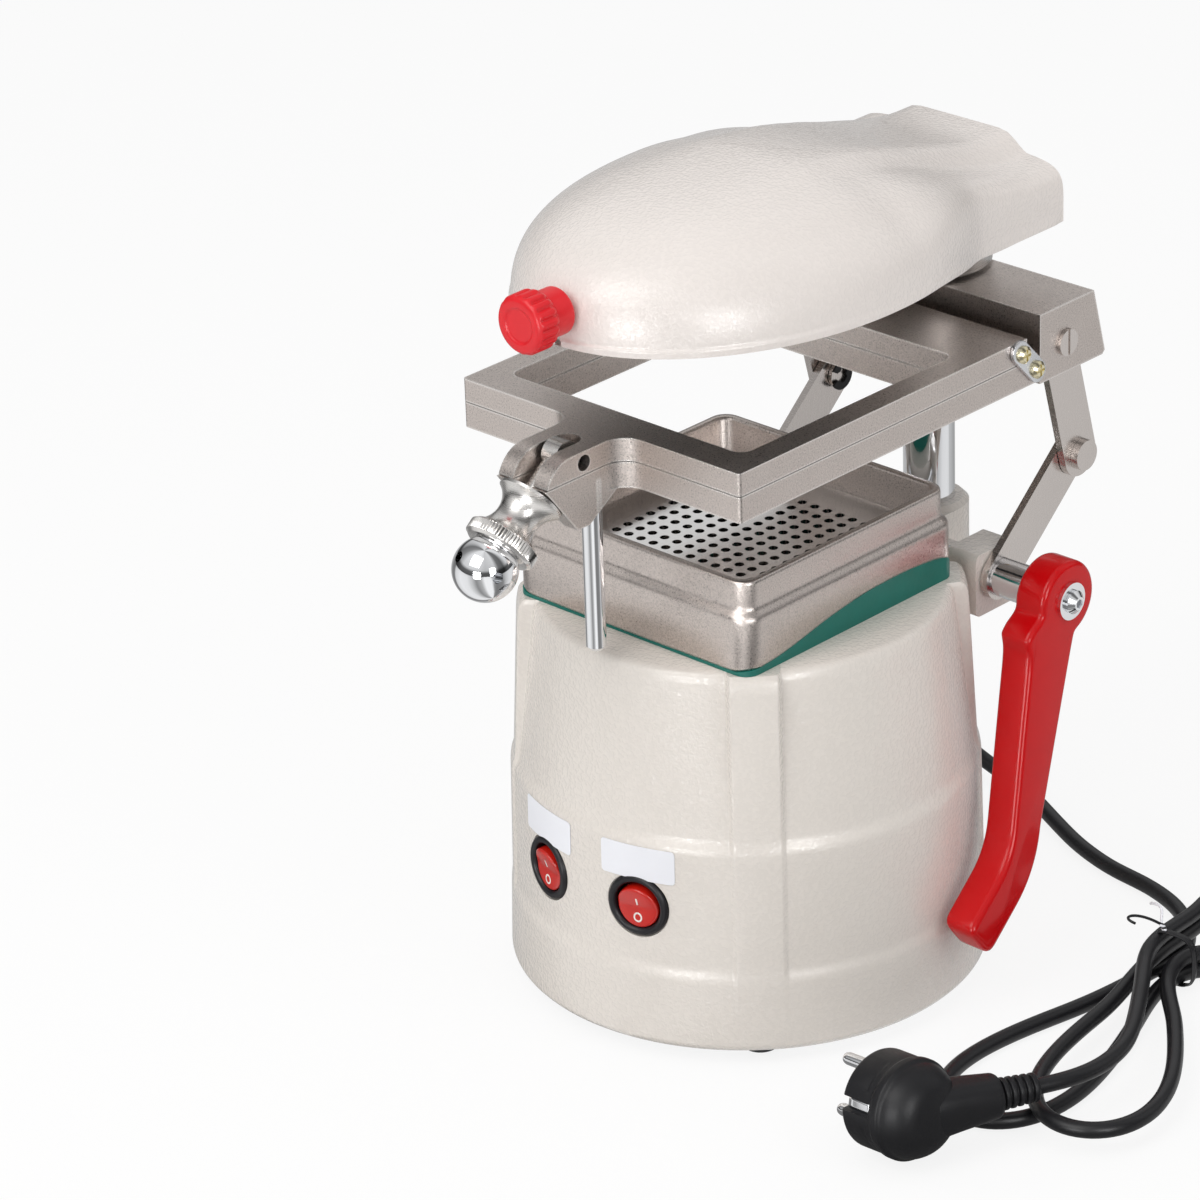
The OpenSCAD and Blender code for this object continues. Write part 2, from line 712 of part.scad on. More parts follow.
// Outline of the handle in side view, with the shaft at the origin and the grip to the front
module handle_outline() {
    top = [arm_top_y, 0];
    foot = [arm_top_y + arm_foot_y, -arm_drop];
    centre = foot + bend_r * [-cos(arm_lean), sin(arm_lean)];
    circle(boss_r);
    translate(top) rotate(-arm_lean) translate([-arm_w / 2, -arm_drop / cos(arm_lean)])
        square([arm_w, arm_drop / cos(arm_lean) + 2]);
    translate(centre) intersection() {
        difference() {
            circle(bend_r + arm_w / 2);
            circle(bend_r - arm_w / 2);
        }
        polygon([
            [0, 0], 90 * [cos(arm_lean), -sin(arm_lean)],
            90 * [cos(arm_lean + grip_turn / 2), -sin(arm_lean + grip_turn / 2)],
            70 * [cos(arm_lean + grip_turn), -sin(arm_lean + grip_turn)]
        ]);
    }
    translate(centre + bend_r * [cos(arm_lean + grip_turn), -sin(arm_lean + grip_turn)])
        rotate(-(arm_lean + grip_turn)) translate([0, -grip_len / 2])
            grip_end();
}

module grip_end() {
    r = 4;
    translate([-arm_w / 2, 0]) square([arm_w, grip_len / 2 + 0.4]);
    translate([-arm_w / 2, r - grip_len / 2]) square([arm_w, grip_len / 2 + 1]);
    translate([r - arm_w / 2, -grip_len / 2]) square([arm_w - 2 * r, grip_len]);
    for (i = [-1, 1]) translate([i * (arm_w / 2 - r), r - grip_len / 2]) circle(r);
}

// The arm leans outwards below the boss, so the grip passes the body
module handle() {
    lean = tan(arm_flare);
    color([0.8, 0.1, 0.12]) translate([0, shaft_y, shaft_z]) difference() {
        union() {
            intersection() {
                side_extrude(boss_x, boss_x + handle_t) handle_outline();
                along_x(boss_x, boss_x + handle_t, boss_r + 0.01);
            }
            difference() {
                multmatrix([[1, 0, -lean, -lean * 14], [0, 1, 0, 0], [0, 0, 1, 0], [0, 0, 0, 1]])
                    side_extrude(boss_x, boss_x + handle_t) handle_outline();
                translate([boss_x - 20, -60, -14]) cube([60, 120, 60]);
            }
            translate([boss_x, arm_top_y - arm_w / 2 - 0.5, -17]) cube([handle_t, 14, 8]);
        }
        along_x(boss_x - cut, boss_x + handle_t - 0.4, shaft_r + run_gap);
        along_x(boss_x, boss_x + handle_t + cut, 3);
    }
}

module handle_spacer() {
    color([0.75, 0.77, 0.8]) translate([0, shaft_y, shaft_z]) difference() {
        along_x(lower_link_x + link_t + 0.1, boss_x - 0.1, 7.5);
        along_x(lower_link_x, boss_x + cut, shaft_r + run_gap);
    }
}

module handle_washer() {
    color([0.8, 0.81, 0.83]) translate([0, shaft_y, shaft_z]) difference() {
        along_x(boss_x + handle_t + 0.05, boss_x + handle_t + 1.6, 7.3);
        along_x(boss_x, boss_x + handle_t + 5, 2.6);
    }
}

// Button head screw with a hexagon socket, head outwards along +X from x
module button_screw(x, length) {
    difference() {
        union() {
            along_x(x, x + 1.2, 4.6);
            translate([x + 1.2, 0, 0]) rotate([0, 90, 0]) cylinder(h = 2, r1 = 4.6, r2 = 2.6);
            along_x(x - length, x + 0.5, 2);
        }
        translate([x + 0.9, 0, 0]) rotate([0, 90, 0]) cylinder(h = 4, r = 1.9, $fn = 6);
    }
}

module handle_screw() {
    color([0.85, 0.86, 0.88]) translate([0, shaft_y, shaft_z])
        button_screw(boss_x + handle_t + 1.65, 13);
}

module shaft_end_washer() {
    color([0.8, 0.81, 0.83]) translate([0, shaft_y, shaft_z]) mirror([1, 0, 0]) difference() {
        along_x(lower_link_x + link_t + 0.05, lower_link_x + link_t + 1.6, 7.3);
        along_x(lower_link_x, lower_link_x + link_t + 5, 2.6);
    }
}

module shaft_end_screw() {
    color([0.86, 0.78, 0.5]) translate([0, shaft_y, shaft_z]) mirror([1, 0, 0])
        button_screw(lower_link_x + link_t + 1.65, 9);
}

// Flat link with round ends from a to b, each [y, z]
module link(x, a, b, bore_a, bore_b) {
    d = b - a;
    side_extrude(x, x + link_t) difference() {
        union() {
            translate(a) circle(link_r);
            translate(b) circle(link_r);
            translate(a) rotate(atan2(d[1], d[0])) translate([0, -link_r]) square([norm(d), 2 * link_r]);
        }
        translate(a) circle(bore_a);
        translate(b) circle(bore_b);
    }
}

shaft_at = [shaft_y, shaft_z];
elbow_at = [elbow_y, elbow_z];
link_pin_at = [link_pin_y, link_pin_z];

module lower_link_right() {
    color([0.74, 0.71, 0.69])
        link(lower_link_x, shaft_at, elbow_at, shaft_r + run_gap, rivet_r + run_gap);
}

module lower_link_left() {
    color([0.74, 0.71, 0.69]) mirror([1, 0, 0])
        link(lower_link_x, shaft_at, elbow_at, shaft_r + run_gap, rivet_r + run_gap);
}

module upper_link_right() {
    color([0.76, 0.73, 0.71])
        link(upper_link_x, elbow_at, link_pin_at, rivet_r + run_gap, link_pin_r + eye_slack);
}

module upper_link_left() {
    color([0.76, 0.73, 0.71]) mirror([1, 0, 0])
        link(upper_link_x, elbow_at, link_pin_at, rivet_r + run_gap, link_pin_r + eye_slack);
}

module elbow_rivets() {
    color([0.8, 0.78, 0.76]) for (side = [0, 1]) mirror([side, 0, 0])
        translate([0, elbow_y, elbow_z]) {
            along_x(lower_link_x - 0.4, upper_link_x + link_t + 1, rivet_r);
            along_x(lower_link_x - 1.9, lower_link_x - 0.3, 5);
            along_x(upper_link_x + link_t + 0.05, upper_link_x + link_t + 3.2, 6);
        }
}

// Plan of the frame plates: the square plate, its front tab and the blends between them
module frame_plan(rear, tab_end) {
    difference() {
        union() {
            translate([0, (rear - frame_front) / 2]) rounded_rect(frame_w, rear + frame_front, 1.5);
            translate([-tab_w / 2, -tab_end]) square([tab_w, tab_end - frame_front + 5]);
            translate([-tab_w / 2 - tab_blend, -frame_front - tab_blend])
                square([tab_w + 2 * tab_blend, tab_blend + 1]);
        }
        translate([0, tray_y]) rounded_rect(opening_side, opening_side, 5);
        for (i = [-1, 1]) translate([i * (tab_w / 2 + tab_blend), -frame_front - tab_blend])
            circle(tab_blend);
    }
}

module block_outline() {
    polygon([
        [block_front, block_bottom], [block_front, block_top], [block_rear_top, block_top],
        [block_rear_bottom, block_bottom + 1.5], [block_rear_bottom - 1.5, block_bottom]
    ]);
}

// Centre of the round end of the slot in the lug, behind the clamp pin so that the bolt's eye turns in it
lug_slot_y = clamp_pin_y - 1.5;

module lower_frame() {
    lug_foot = lower_top - lug_depth;
    face = [-clamp_pin_y, clamp_pin_z] + lug_reach * [bolt_dir[1], bolt_dir[2]];
    down = [sin(bolt_angle), -cos(bolt_angle)];
    color([0.69, 0.65, 0.62]) difference() {
        union() {
            translate([0, 0, lower_z]) linear_extrude(lower_t)
                frame_plan(block_front + 1, clamp_pin_y - 2);
            side_extrude(-frame_w / 2, frame_w / 2) block_outline();
            side_extrude(-tab_w / 2, tab_w / 2) intersection() {
                polygon([
                    face - 30 * down, face + 40 * down, [-frame_front + 2, lug_foot - 20],
                    [-frame_front + 2, lower_top + 20]
                ]);
                polygon([
                    [-clamp_pin_y - 30, lower_top], [-frame_front + 1, lower_top], [-frame_front + 1, lower_z + 2],
                    [-clamp_pin_y + 2, lug_foot], [-clamp_pin_y - 30, lug_foot]
                ]);
            }
        }
        translate([-slot_w / 2, -lug_slot_y - 60, lower_z - 40]) cube([slot_w, 60, 80]);
        translate([0, -lug_slot_y, lower_z - 40]) cylinder(h = 80, r = slot_w / 2);
        translate([0, column_y, block_bottom - cut]) cylinder(h = 60, r = bush_r + run_gap);
        for (side = [0, 1]) mirror([side, 0, 0]) {
            side_extrude(slot_x, slot_x + slot_in) polygon([
                [block_front + 3, block_bottom - cut], [block_front + 3, block_top - 3.6],
                [block_rear_top - 4.3, block_top - 3.6], [block_rear_bottom - 3.8, block_bottom - cut]
            ]);
            translate([0, link_pin_y, link_pin_z])
                along_x(slot_x - 5, frame_w / 2 + cut, link_pin_r + run_gap);
            translate([0, hinge_foot_y, hinge_foot_z]) along_x(frame_w / 2 - 9, frame_w / 2 + cut, 1.6);
        }
        translate([front_rod_x, -front_rod_y, lower_z - 20]) cylinder(h = 26, r = front_rod_r + run_gap);
        translate([-frame_w / 2 - cut, block_front - 5.5, lower_top])
            cube([frame_w + 2 * cut, 5.5, 30]);
    }
}

hinge_foot_y = tilt_y + 8;
hinge_foot_z = tilt_z - 8.5;

module slide_bushes() {
    color([0.2, 0.19, 0.18]) for (z = [block_bottom, block_top - 9.4])
        translate([0, column_y, z]) difference() {
            cylinder(h = 9.4, r = bush_r);
            translate([0, 0, -cut]) cylinder(h = 20, r = column_r + run_gap);
        }
}

module link_pins() {
    color([0.76, 0.73, 0.71]) for (side = [0, 1]) mirror([side, 0, 0])
        translate([0, link_pin_y, link_pin_z]) difference() {
            union() {
                along_x(slot_x - 4.8, frame_w / 2 + 0.5, link_pin_r);
                along_x(frame_w / 2 + 0.05, frame_w / 2 + 1.4, 5.2);
            }
            translate([frame_w / 2 + 0.7, -0.6, -6]) cube([2, 1.2, 12]);
        }
}

module front_rod() {
    color([0.8, 0.81, 0.83]) translate([front_rod_x, -front_rod_y, lower_z + 5.9 - front_rod_len - 6])
        union() {
            cylinder(h = 1.5, r1 = front_rod_r - 1.5, r2 = front_rod_r);
            translate([0, 0, 1.5]) cylinder(h = front_rod_len + 4.5, r = front_rod_r);
        }
}

module hinge_plates() {
    color([0.78, 0.79, 0.82]) for (side = [0, 1]) mirror([side, 0, 0])
        side_extrude(frame_w / 2 + 0.15, frame_w / 2 + 1.8) difference() {
            translate([(tilt_y + hinge_foot_y) / 2, (tilt_z + hinge_foot_z) / 2])
                rotate(atan2(hinge_foot_z - tilt_z, hinge_foot_y - tilt_y))
                    rounded_rect(norm([hinge_foot_y - tilt_y, hinge_foot_z - tilt_z]) + 12.4, 12.4, 6);
            translate([tilt_y, tilt_z]) circle(2 + run_gap);
            translate([hinge_foot_y, hinge_foot_z]) circle(1.7);
        }
}

// Cross slotted screw along X with its head outside the hinge plate
module cross_screw(x0, r) {
    head = frame_w / 2 + 1.85;
    difference() {
        union() {
            along_x(x0, head + 0.5, r);
            along_x(head, head + 1, 3.4);
            translate([head + 1, 0, 0]) rotate([0, 90, 0]) cylinder(h = 1, r1 = 3.4, r2 = 2.2);
        }
        for (turn = [0, 90]) rotate([turn, 0, 0])
            translate([head + 1.2, -0.5, -2.4]) cube([2, 1, 4.8]);
    }
}

module hinge_screws() {
    color([0.83, 0.74, 0.42]) for (side = [0, 1]) mirror([side, 0, 0]) {
        translate([0, tilt_y, tilt_z]) cross_screw(frame_w / 2 - 8, 2);
        translate([0, hinge_foot_y, hinge_foot_z]) cross_screw(frame_w / 2 - 8, 1.55);
    }
}

module upper_frame() {
    color([0.69, 0.65, 0.62]) difference() {
        union() {
            translate([0, 0, upper_z]) linear_extrude(upper_t) frame_plan(tilt_y, tab_front + 0.1);
            translate([0, tilt_y, tilt_z]) along_x(-frame_w / 2, frame_w / 2, upper_t / 2 - 0.05);
            translate([-frame_w / 2, tilt_y - 1, tilt_z])
                cube([frame_w, frame_rear - tilt_y + 1, upper_top - tilt_z]);
        }
        side_extrude(-tab_w, tab_w) prong_relief();
        translate([-slot_w / 2, -clamp_pin_y - 60, upper_z - 20]) cube([slot_w, 60 + clamp_pin_y - slot_end - slot_w / 2, 60]);
        translate([0, -slot_end - slot_w / 2, upper_z - 20]) cylinder(h = 60, r = slot_w / 2);
        translate([0, -clamp_pin_y, clamp_pin_z]) along_x(-tab_w, tab_w, clamp_pin_r + run_gap);
        for (side = [0, 1]) mirror([side, 0, 0])
            translate([0, tilt_y, tilt_z]) along_x(frame_w / 2 - 9, frame_w / 2 + cut, 2 + run_gap);
    }
}

// What is cut from the tab so that its two prongs end in a quarter round
module prong_relief() {
    centre = [-tab_front + prong_r + 0.4, upper_top - prong_r];
    difference() {
        translate([centre[0] - 30, upper_z - 10]) square([30, 30]);
        translate(centre) circle(prong_r);
    }
}

module clamp_pin() {
    color([0.3, 0.3, 0.32]) translate([0, -clamp_pin_y, clamp_pin_z])
        along_x(-tab_w / 2 + 0.6, tab_w / 2 - 0.6, clamp_pin_r);
}

// Eye of the swing bolt, which stays clear of the round end of the slot
eye_w = 7;
eye_r = 5.8;

module swing_bolt() {
    color([0.7, 0.7, 0.72]) difference() {
        union() {
            translate([0, -clamp_pin_y, clamp_pin_z]) along_x(-eye_w / 2, eye_w / 2, eye_r);
            at_bolt() translate([0, 0, 4]) cylinder(h = bolt_end - 4, r = bolt_r);
        }
        translate([0, -clamp_pin_y, clamp_pin_z]) along_x(-20, 20, clamp_pin_r + run_gap);
    }
}

module clamp_sleeve() {
    color([0.76, 0.75, 0.74]) at_bolt() translate([0, 0, sleeve_start]) rotate_extrude() difference() {
        translate([bolt_r + 0.1, 0]) square([sleeve_r - bolt_r - 0.1, sleeve_len]);
        translate([sleeve_waist_r + waist_arc_r, sleeve_len * 0.56]) circle(waist_arc_r);
    }
}

waist_arc_r = 9.6;

module clamp_ring() {
    teeth = 44;
    color([0.76, 0.75, 0.74]) at_bolt() translate([0, 0, ring_start + 0.1]) difference() {
        union() {
            cylinder(h = 0.9, r1 = ring_nut_r - 1.6, r2 = ring_nut_r - 0.7);
            translate([0, 0, 0.9]) linear_extrude(ring_nut_t - 2) difference() {
                circle(ring_nut_r);
                for (i = [0 : teeth - 1]) rotate(i * 360 / teeth)
                    translate([ring_nut_r + 0.1, 0]) rotate(45) square(0.9, center = true);
            }
            translate([0, 0, ring_nut_t - 1.1]) cylinder(h = 0.9, r1 = ring_nut_r - 0.7, r2 = ring_nut_r - 1.6);
        }
        translate([0, 0, -cut]) cylinder(h = 20, r = bolt_r + 0.1);
    }
}

module clamp_ball() {
    base = ring_start + ring_nut_t;
    color([0.85, 0.86, 0.88]) at_bolt() difference() {
        intersection() {
            translate([0, 0, ball_dist - 1.4]) sphere(ball_r);
            translate([0, 0, base]) cylinder(h = 60, r = 30);
        }
        translate([0, 0, base - cut]) cylinder(h = bolt_end + 0.4 - base + cut, r = bolt_r + 0.1);
        for (turn = [20 : 90 : 290]) rotate([0, 0, turn]) translate([0, 0, ball_dist + 1.4])
            along_x(bolt_r + 1.6, 20, 2);
    }
}

// Blend from 0 to 1 as v goes from a to b
function smooth(v, a, b) = let (t = max(0, min(1, (v - a) / (b - a)))) t * t * (3 - 2 * t);

// Half width of the dome in plan at y
function dome_half(y) =
    let (
        front = sqrt(max(0, 1 - pow((dome_mid_y - y) / dome_front_len, 2))),
        back_len = dome_front_len - 2,
        rear = sqrt(max(0, 1 - pow((y - dome_mid_y) / back_len, 2)))
    )
    y < dome_mid_y ? dome_half_w * front
        : max(dome_half_w * rear, neck_half_w + 3 * (1 - smooth(y, 50, 70)));

function dome_rim(y) = dome_rim_z + (neck_rim_z - dome_rim_z) * smooth(y, 30, 92);

// Height of the crown line above the table, without the spine
function dome_crown(y) =
    y < dome_mid_y
        ? dome_rim_z + dome_h * pow(max(0, 1 - pow((dome_mid_y - y) / dome_front_len, 2.6)), 0.5)
        : dome_rim_z + dome_h + (neck_rim_z + 23 - dome_rim_z - dome_h) * smooth(y, dome_mid_y, 120);

function dome_power(y) = 2.3 + 4.2 * smooth(y, 20, 105);

// Extra height of the spine, which rises out of the crown towards the neck
function spine_lift(x, y) =
    7 * smooth(y, 10, 95) * (1 - smooth(abs(x), spine_half_w - 4, spine_half_w + 6));

// Point of the outer skin: u runs across from -1 to 1, y along
function dome_point(u, y, inset) =
    let (
        w = max(dome_half(y) - inset, 0.01),
        rim = dome_rim(y),
        h = max(dome_crown(y) - rim - inset, 0.01),
        p = dome_power(y),
        a = 90 * u,
        x = w * sign(u) * pow(abs(sin(a)), min(1, 2 / p)),
        z = rim + h * pow(abs(cos(a)), 2 / p)
    )
    [x, y, z + spine_lift(x, y) * pow(abs(cos(a)), 0.3)];

dome_cols = 34;
function dome_ys(front, rear, n) = [for (i = [0 : n]) front + (rear - front) * (1 - cos(180 * pow(i / n, 0.92))) / 2];

// The dome casting as one closed surface: outer skin, hollow, end walls and the flat rim between
dome_rows = 34;
module dome_casting() {
    n = dome_rows;
    m = dome_cols;
    w = m + 1;
    o = (n + 1) * w;
    outer_ys = dome_ys(dome_front_y + 0.12, neck_rear, n);
    inner_ys = dome_ys(dome_front_y + dome_wall + 0.2, column_y - hub_r - 4, n);
    points = concat(
        [for (y = outer_ys, j = [0 : m]) dome_point(-1 + 2 * j / m, y, 0)],
        [for (y = inner_ys, j = [0 : m]) dome_point(-1 + 2 * j / m, y, dome_wall)]
    );
    skins = [for (i = [0 : n - 1], j = [0 : m - 1]) let (a = i * w + j, b = a + w) each [
        [a, a + 1, b + 1], [a, b + 1, b], [o + a, o + b + 1, o + a + 1], [o + a, o + b, o + b + 1]
    ]];
    rims = [for (i = [0 : n - 1]) let (a = i * w, b = a + w, c = a + m, d = b + m) each [
        [a, b, o + b], [a, o + b, o + a], [c, o + d, d], [c, o + c, o + d]
    ]];
    bars = [
        [0, o, o + m], [0, o + m, m],
        [n * w, n * w + m, o + n * w + m], [n * w, o + n * w + m, o + n * w]
    ];
    ends = [for (k = [0, 1], j = [0 : m / 2 - 1]) let (f = k * o, g = k * o + n * w) each [
        k == 0 ? [f + j, f + m - j, f + j + 1] : [f + j, f + j + 1, f + m - j],
        k == 0 ? [g + j, g + j + 1, g + m - j] : [g + j, g + m - j, g + j + 1],
        if (j < m / 2 - 1) k == 0 ? [f + j + 1, f + m - j, f + m - 1 - j] : [f + j + 1, f + m - 1 - j, f + m - j],
        if (j < m / 2 - 1) k == 0 ? [g + j + 1, g + m - 1 - j, g + m - j] : [g + j + 1, g + m - j, g + m - 1 - j]
    ]];
    polyhedron(points, concat(skins, rims, bars, ends), convexity = 8);
}

dome_front_y = dome_mid_y - dome_front_len;

module dome_shell() {
    color([0.9, 0.87, 0.85]) difference() {
        dome_casting();
        translate([0, column_y, neck_rim_z - 5])
            cylinder(h = hub_spigot_top + 5.3 - neck_rim_z, r = hub_spigot_r + seat_gap);
        translate([0, -knob_face, knob_z]) rotate([-90, 0, 0]) cylinder(h = 40, r = 3.2, $fn = small);
    }
}

module dome_hub() {
    color([0.7, 0.71, 0.73]) translate([0, column_y, 0]) difference() {
        union() {
            translate([0, 0, hub_bottom]) cylinder(h = neck_rim_z - 0.1 - hub_bottom, r = hub_r);
            translate([0, 0, neck_rim_z - 1]) cylinder(h = hub_spigot_top - neck_rim_z + 1, r = hub_spigot_r);
        }
        translate([0, 0, hub_bottom - cut]) cylinder(h = column_top + 0.2 - hub_bottom + cut, r = column_r + run_gap);
    }
}

reflector_top = dome_rim_z + 17;

module heat_reflector() {
    color([0.75, 0.76, 0.78]) translate([0, tray_y, 0]) {
        difference() {
            translate([0, 0, dome_rim_z + 1]) cylinder(h = reflector_top - dome_rim_z - 1, r = heater_r + 5);
            translate([0, 0, dome_rim_z]) cylinder(h = reflector_top - dome_rim_z - 1.5, r = heater_r + 4);
        }
        for (a = [90, 210, 330]) rotate([0, 0, a]) translate([22, 0, reflector_top - 0.5])
            cylinder(h = dome_rim_z + dome_h - dome_wall - 1.6 - reflector_top, r = 4);
    }
}

module heating_plate() {
    color([0.93, 0.92, 0.89]) translate([0, tray_y, 0]) difference() {
        union() {
            translate([0, 0, dome_rim_z + 4]) cylinder(h = 8, r = heater_r);
            translate([0, 0, dome_rim_z + 11]) cylinder(h = 4.4, r = 16);
        }
        for (r = [8 : 8 : heater_r - 6]) translate([0, 0, dome_rim_z + 3]) difference() {
            cylinder(h = 3.5, r = r + 2);
            translate([0, 0, -cut]) cylinder(h = 6, r = r - 2);
        }
    }
}

module dome_knob() {
    flutes = 18;
    color([0.84, 0.14, 0.17]) translate([0, -knob_face, knob_z]) rotate([-90, 0, 0]) {
        difference() {
            union() {
                cylinder(h = 1.6, r1 = 10, r2 = 11.6);
                translate([0, 0, 1.6]) cylinder(h = 7.6, r = 11.6);
                translate([0, 0, 9.2]) cylinder(h = 1.4, r1 = 11.6, r2 = 9.7);
            }
            for (i = [0 : flutes - 1]) rotate([0, 0, i * 360 / flutes])
                translate([12.6, 0, 2]) cylinder(h = 12, r = 1.6, $fn = small);
        }
        translate([0, 0, 10]) cylinder(h = 10, r = 9.6);
        cylinder(h = 25, r = 3);
    }
}

module cord_boot() {
    color([0.08, 0.08, 0.09]) rotate([0, 0, exit_angle]) translate([exit_r, 0, exit_z]) rotate([0, 90, 0]) {
        translate([0, 0, -10]) cylinder(h = 12, r = 5);
        translate([0, 0, 0.2]) cylinder(h = 3, r = boot_r + 1.5);
        translate([0, 0, 3.2]) cylinder(h = boot_len - 3.2, r1 = boot_r, r2 = cord_r + 0.9);
    }
}

// Tube along a list of points; each ring stands square to the run through its neighbours
module tube(points, r, sides) {
    n = len(points);
    dirs = [for (i = [0 : n - 1]) let (d = points[min(i + 1, n - 1)] - points[max(i - 1, 0)]) d / norm(d)];
    rings = [for (i = [0 : n - 1])
        let (
            d = dirs[i],
            s = cross(d, [0, 0, 1]),
            right = s / norm(s),
            up = cross(right, d)
        )
        for (k = [0 : sides - 1]) points[i] + r * (cos(k * 360 / sides) * right + sin(k * 360 / sides) * up)];
    walls = [for (i = [0 : n - 2], k = [0 : sides - 1])
        let (a = i * sides + k, b = i * sides + (k + 1) % sides)
        each [[a, a + sides, b], [b, a + sides, b + sides]]];
    caps = [[for (k = [0 : sides - 1]) k], [for (k = [sides - 1 : -1 : 0]) (n - 1) * sides + k]];
    polyhedron(rings, concat(walls, caps), convexity = 10);
}

// Smooth curve through hand chosen points, with the same number of steps between each pair
function curve_at(p, i, t) =
    let (
        n = len(p),
        a = p[max(i - 1, 0)], b = p[i], c = p[min(i + 1, n - 1)], d = p[min(i + 2, n - 1)]
    )
    0.5 * (2 * b + (c - a) * t + (2 * a - 5 * b + 4 * c - d) * t * t + (3 * b - a - 3 * c + d) * t * t * t);
function smooth_path(p, steps) = concat(
    [for (i = [0 : len(p) - 2], s = [0 : steps - 1]) curve_at(p, i, s / steps)], [p[len(p) - 1]]
);

// Centre line of the hank. One turn is 360 degrees of t: out along a near lobe and back,
// then out along the far lobe and back, with each new near lobe one layer higher.
function soft_abs(v) = sqrt(v * v + pinch * pinch) - pinch;
function hank_axis(t) =
    let (
        turn = floor((t + 90) / 360),
        near = near_axis[min(turn, 1)],
        share = smooth(sin(t), -0.35, 0.35)
    )
    far_axis - 180 + share * (near - far_axis + 180);
function hank_height(t) =
    let (turn = floor(t / 360))
    cord_r + layer * (turn + smooth(t - 360 * turn, 185, 262));
function hank_point(t) =
    let (
        s = sin(t),
        along = s * (s > 0 ? near_len : far_len),
        across = cos(t) * (waist_w + 2 * lobe_w * soft_abs(s)),
        a = hank_axis(t),
        u = [cos(a), sin(a)],
        v = [-sin(a), cos(a)],
        xy = tie_at + along * u - across * v
    )
    [xy[0], xy[1], hank_height(t) + tie_lift * exp(-along * along / 300)];
hank_line = [for (k = [0 : 2 * loop_steps]) hank_point(k * 360 / loop_steps)];

// Least gap between two runs of the hank that aren't neighbours along it
function near_gap(p, i) =
    min([for (j = [i + 5 : max(i + 5, len(p) - 1)]) j < len(p) ? norm(p[i] - p[j]) : 1000]) - cord_d;
hank_gap = min([for (i = [0 : len(hank_line) - 6]) near_gap(hank_line, i)]);
echo(least_gap_in_hank = hank_gap);

module cord_lead() {
    color([0.07, 0.07, 0.08]) tube(smooth_path(concat(lead_points, [hank_line[0] + [0, 0, 0]]), 3), cord_r, 8);
}

module cord_hank() {
    color([0.07, 0.07, 0.08]) tube(hank_line, cord_r, 6);
}

module cord_plug_lead() {
    color([0.07, 0.07, 0.08]) tube(smooth_path(concat([hank_line[2 * loop_steps] + [0.1, -0.9, 0.1]], plug_points), 2), cord_r, 8);
}

module cord_tie() {
    w = 2 * waist_w + cord_d + 8.8;
    h = 2 * layer + cord_d + 4.4;
    color([0.12, 0.12, 0.13]) translate([tie_at[0], tie_at[1], h / 2]) rotate([0, 0, far_axis])
        rotate([90, 0, 90]) translate([0, 0, -1.5]) linear_extrude(3) difference() {
            rounded_rect(w + 1.6, h, 4);
            rounded_rect(w, h - 1.6, 2.6);
        }
}

module cord_plug() {
    color([0.08, 0.08, 0.09]) {
        translate(plug_end) rotate([0, 0, plug_angle]) rotate([0, 90, 0]) {
            cylinder(h = plug_boot_len, r1 = cord_r + 1.4, r2 = 6);
            for (z = [1.5 : 3.2 : plug_boot_len - 2]) translate([0, 0, z])
                cylinder(h = 1.9, r = cord_r + 2.6 + z * 0.08);
            translate([0, 0, plug_boot_len]) cylinder(h = plug_neck_len, r1 = 8.6, r2 = 11);
        }
        translate(plug_head) rotate([0, 0, head_angle]) rotate([0, 90 + head_dip, 0])
            rotate([0, 0, head_roll]) plug_head_part();
    }
}

// Round head with an earth slot on each side and two pins
module plug_head_part() {
    difference() {
        union() {
            translate([0, 0, -9]) cylinder(h = 9.1, r1 = plug_r - 6.5, r2 = plug_r);
            cylinder(h = head_len, r = plug_r);
            translate([0, 0, 2]) cylinder(h = 4, r = plug_r + 0.7);
        }
        for (turn = [90, 270]) rotate([0, 0, turn])
            translate([plug_r - 4, -2.5, head_len - 14]) cube([10, 5, 20]);
    }
    for (x = [-9.5, 9.5]) translate([x, 0, head_len - 1]) {
        cylinder(h = 18.4, r = 2.4, $fn = small);
        translate([0, 0, 18.4]) cylinder(h = 1.6, r1 = 2.4, r2 = 1.2, $fn = small);
    }
}

body_shell();
rear_yoke();
column();
column_set_screws();
base_plate();
base_screws();
rubber_feet();
gasket();
forming_tray();
perforated_plate();
suction_duct();
motor_bracket();
motor_screws();
fan_housing();
impeller();
motor_body();
terminal_block();
heat_switch_housing();
heat_switch_rocker();
model_switch_housing();
model_switch_rocker();
crank_shaft();
handle();
handle_spacer();
handle_washer();
handle_screw();
shaft_end_washer();
shaft_end_screw();
lower_link_right();
lower_link_left();
upper_link_right();
upper_link_left();
elbow_rivets();
lower_frame();
slide_bushes();
link_pins();
front_rod();
hinge_plates();
hinge_screws();
upper_frame();
clamp_pin();
swing_bolt();
clamp_sleeve();
clamp_ring();
clamp_ball();
dome_shell();
dome_hub();
heat_reflector();
heating_plate();
dome_knob();
cord_boot();
cord_lead();
cord_hank();
cord_plug_lead();
cord_plug();
cord_tie();
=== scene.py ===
import json
import math

import bpy
import bmesh
import numpy as np
from mathutils import Matrix, Vector


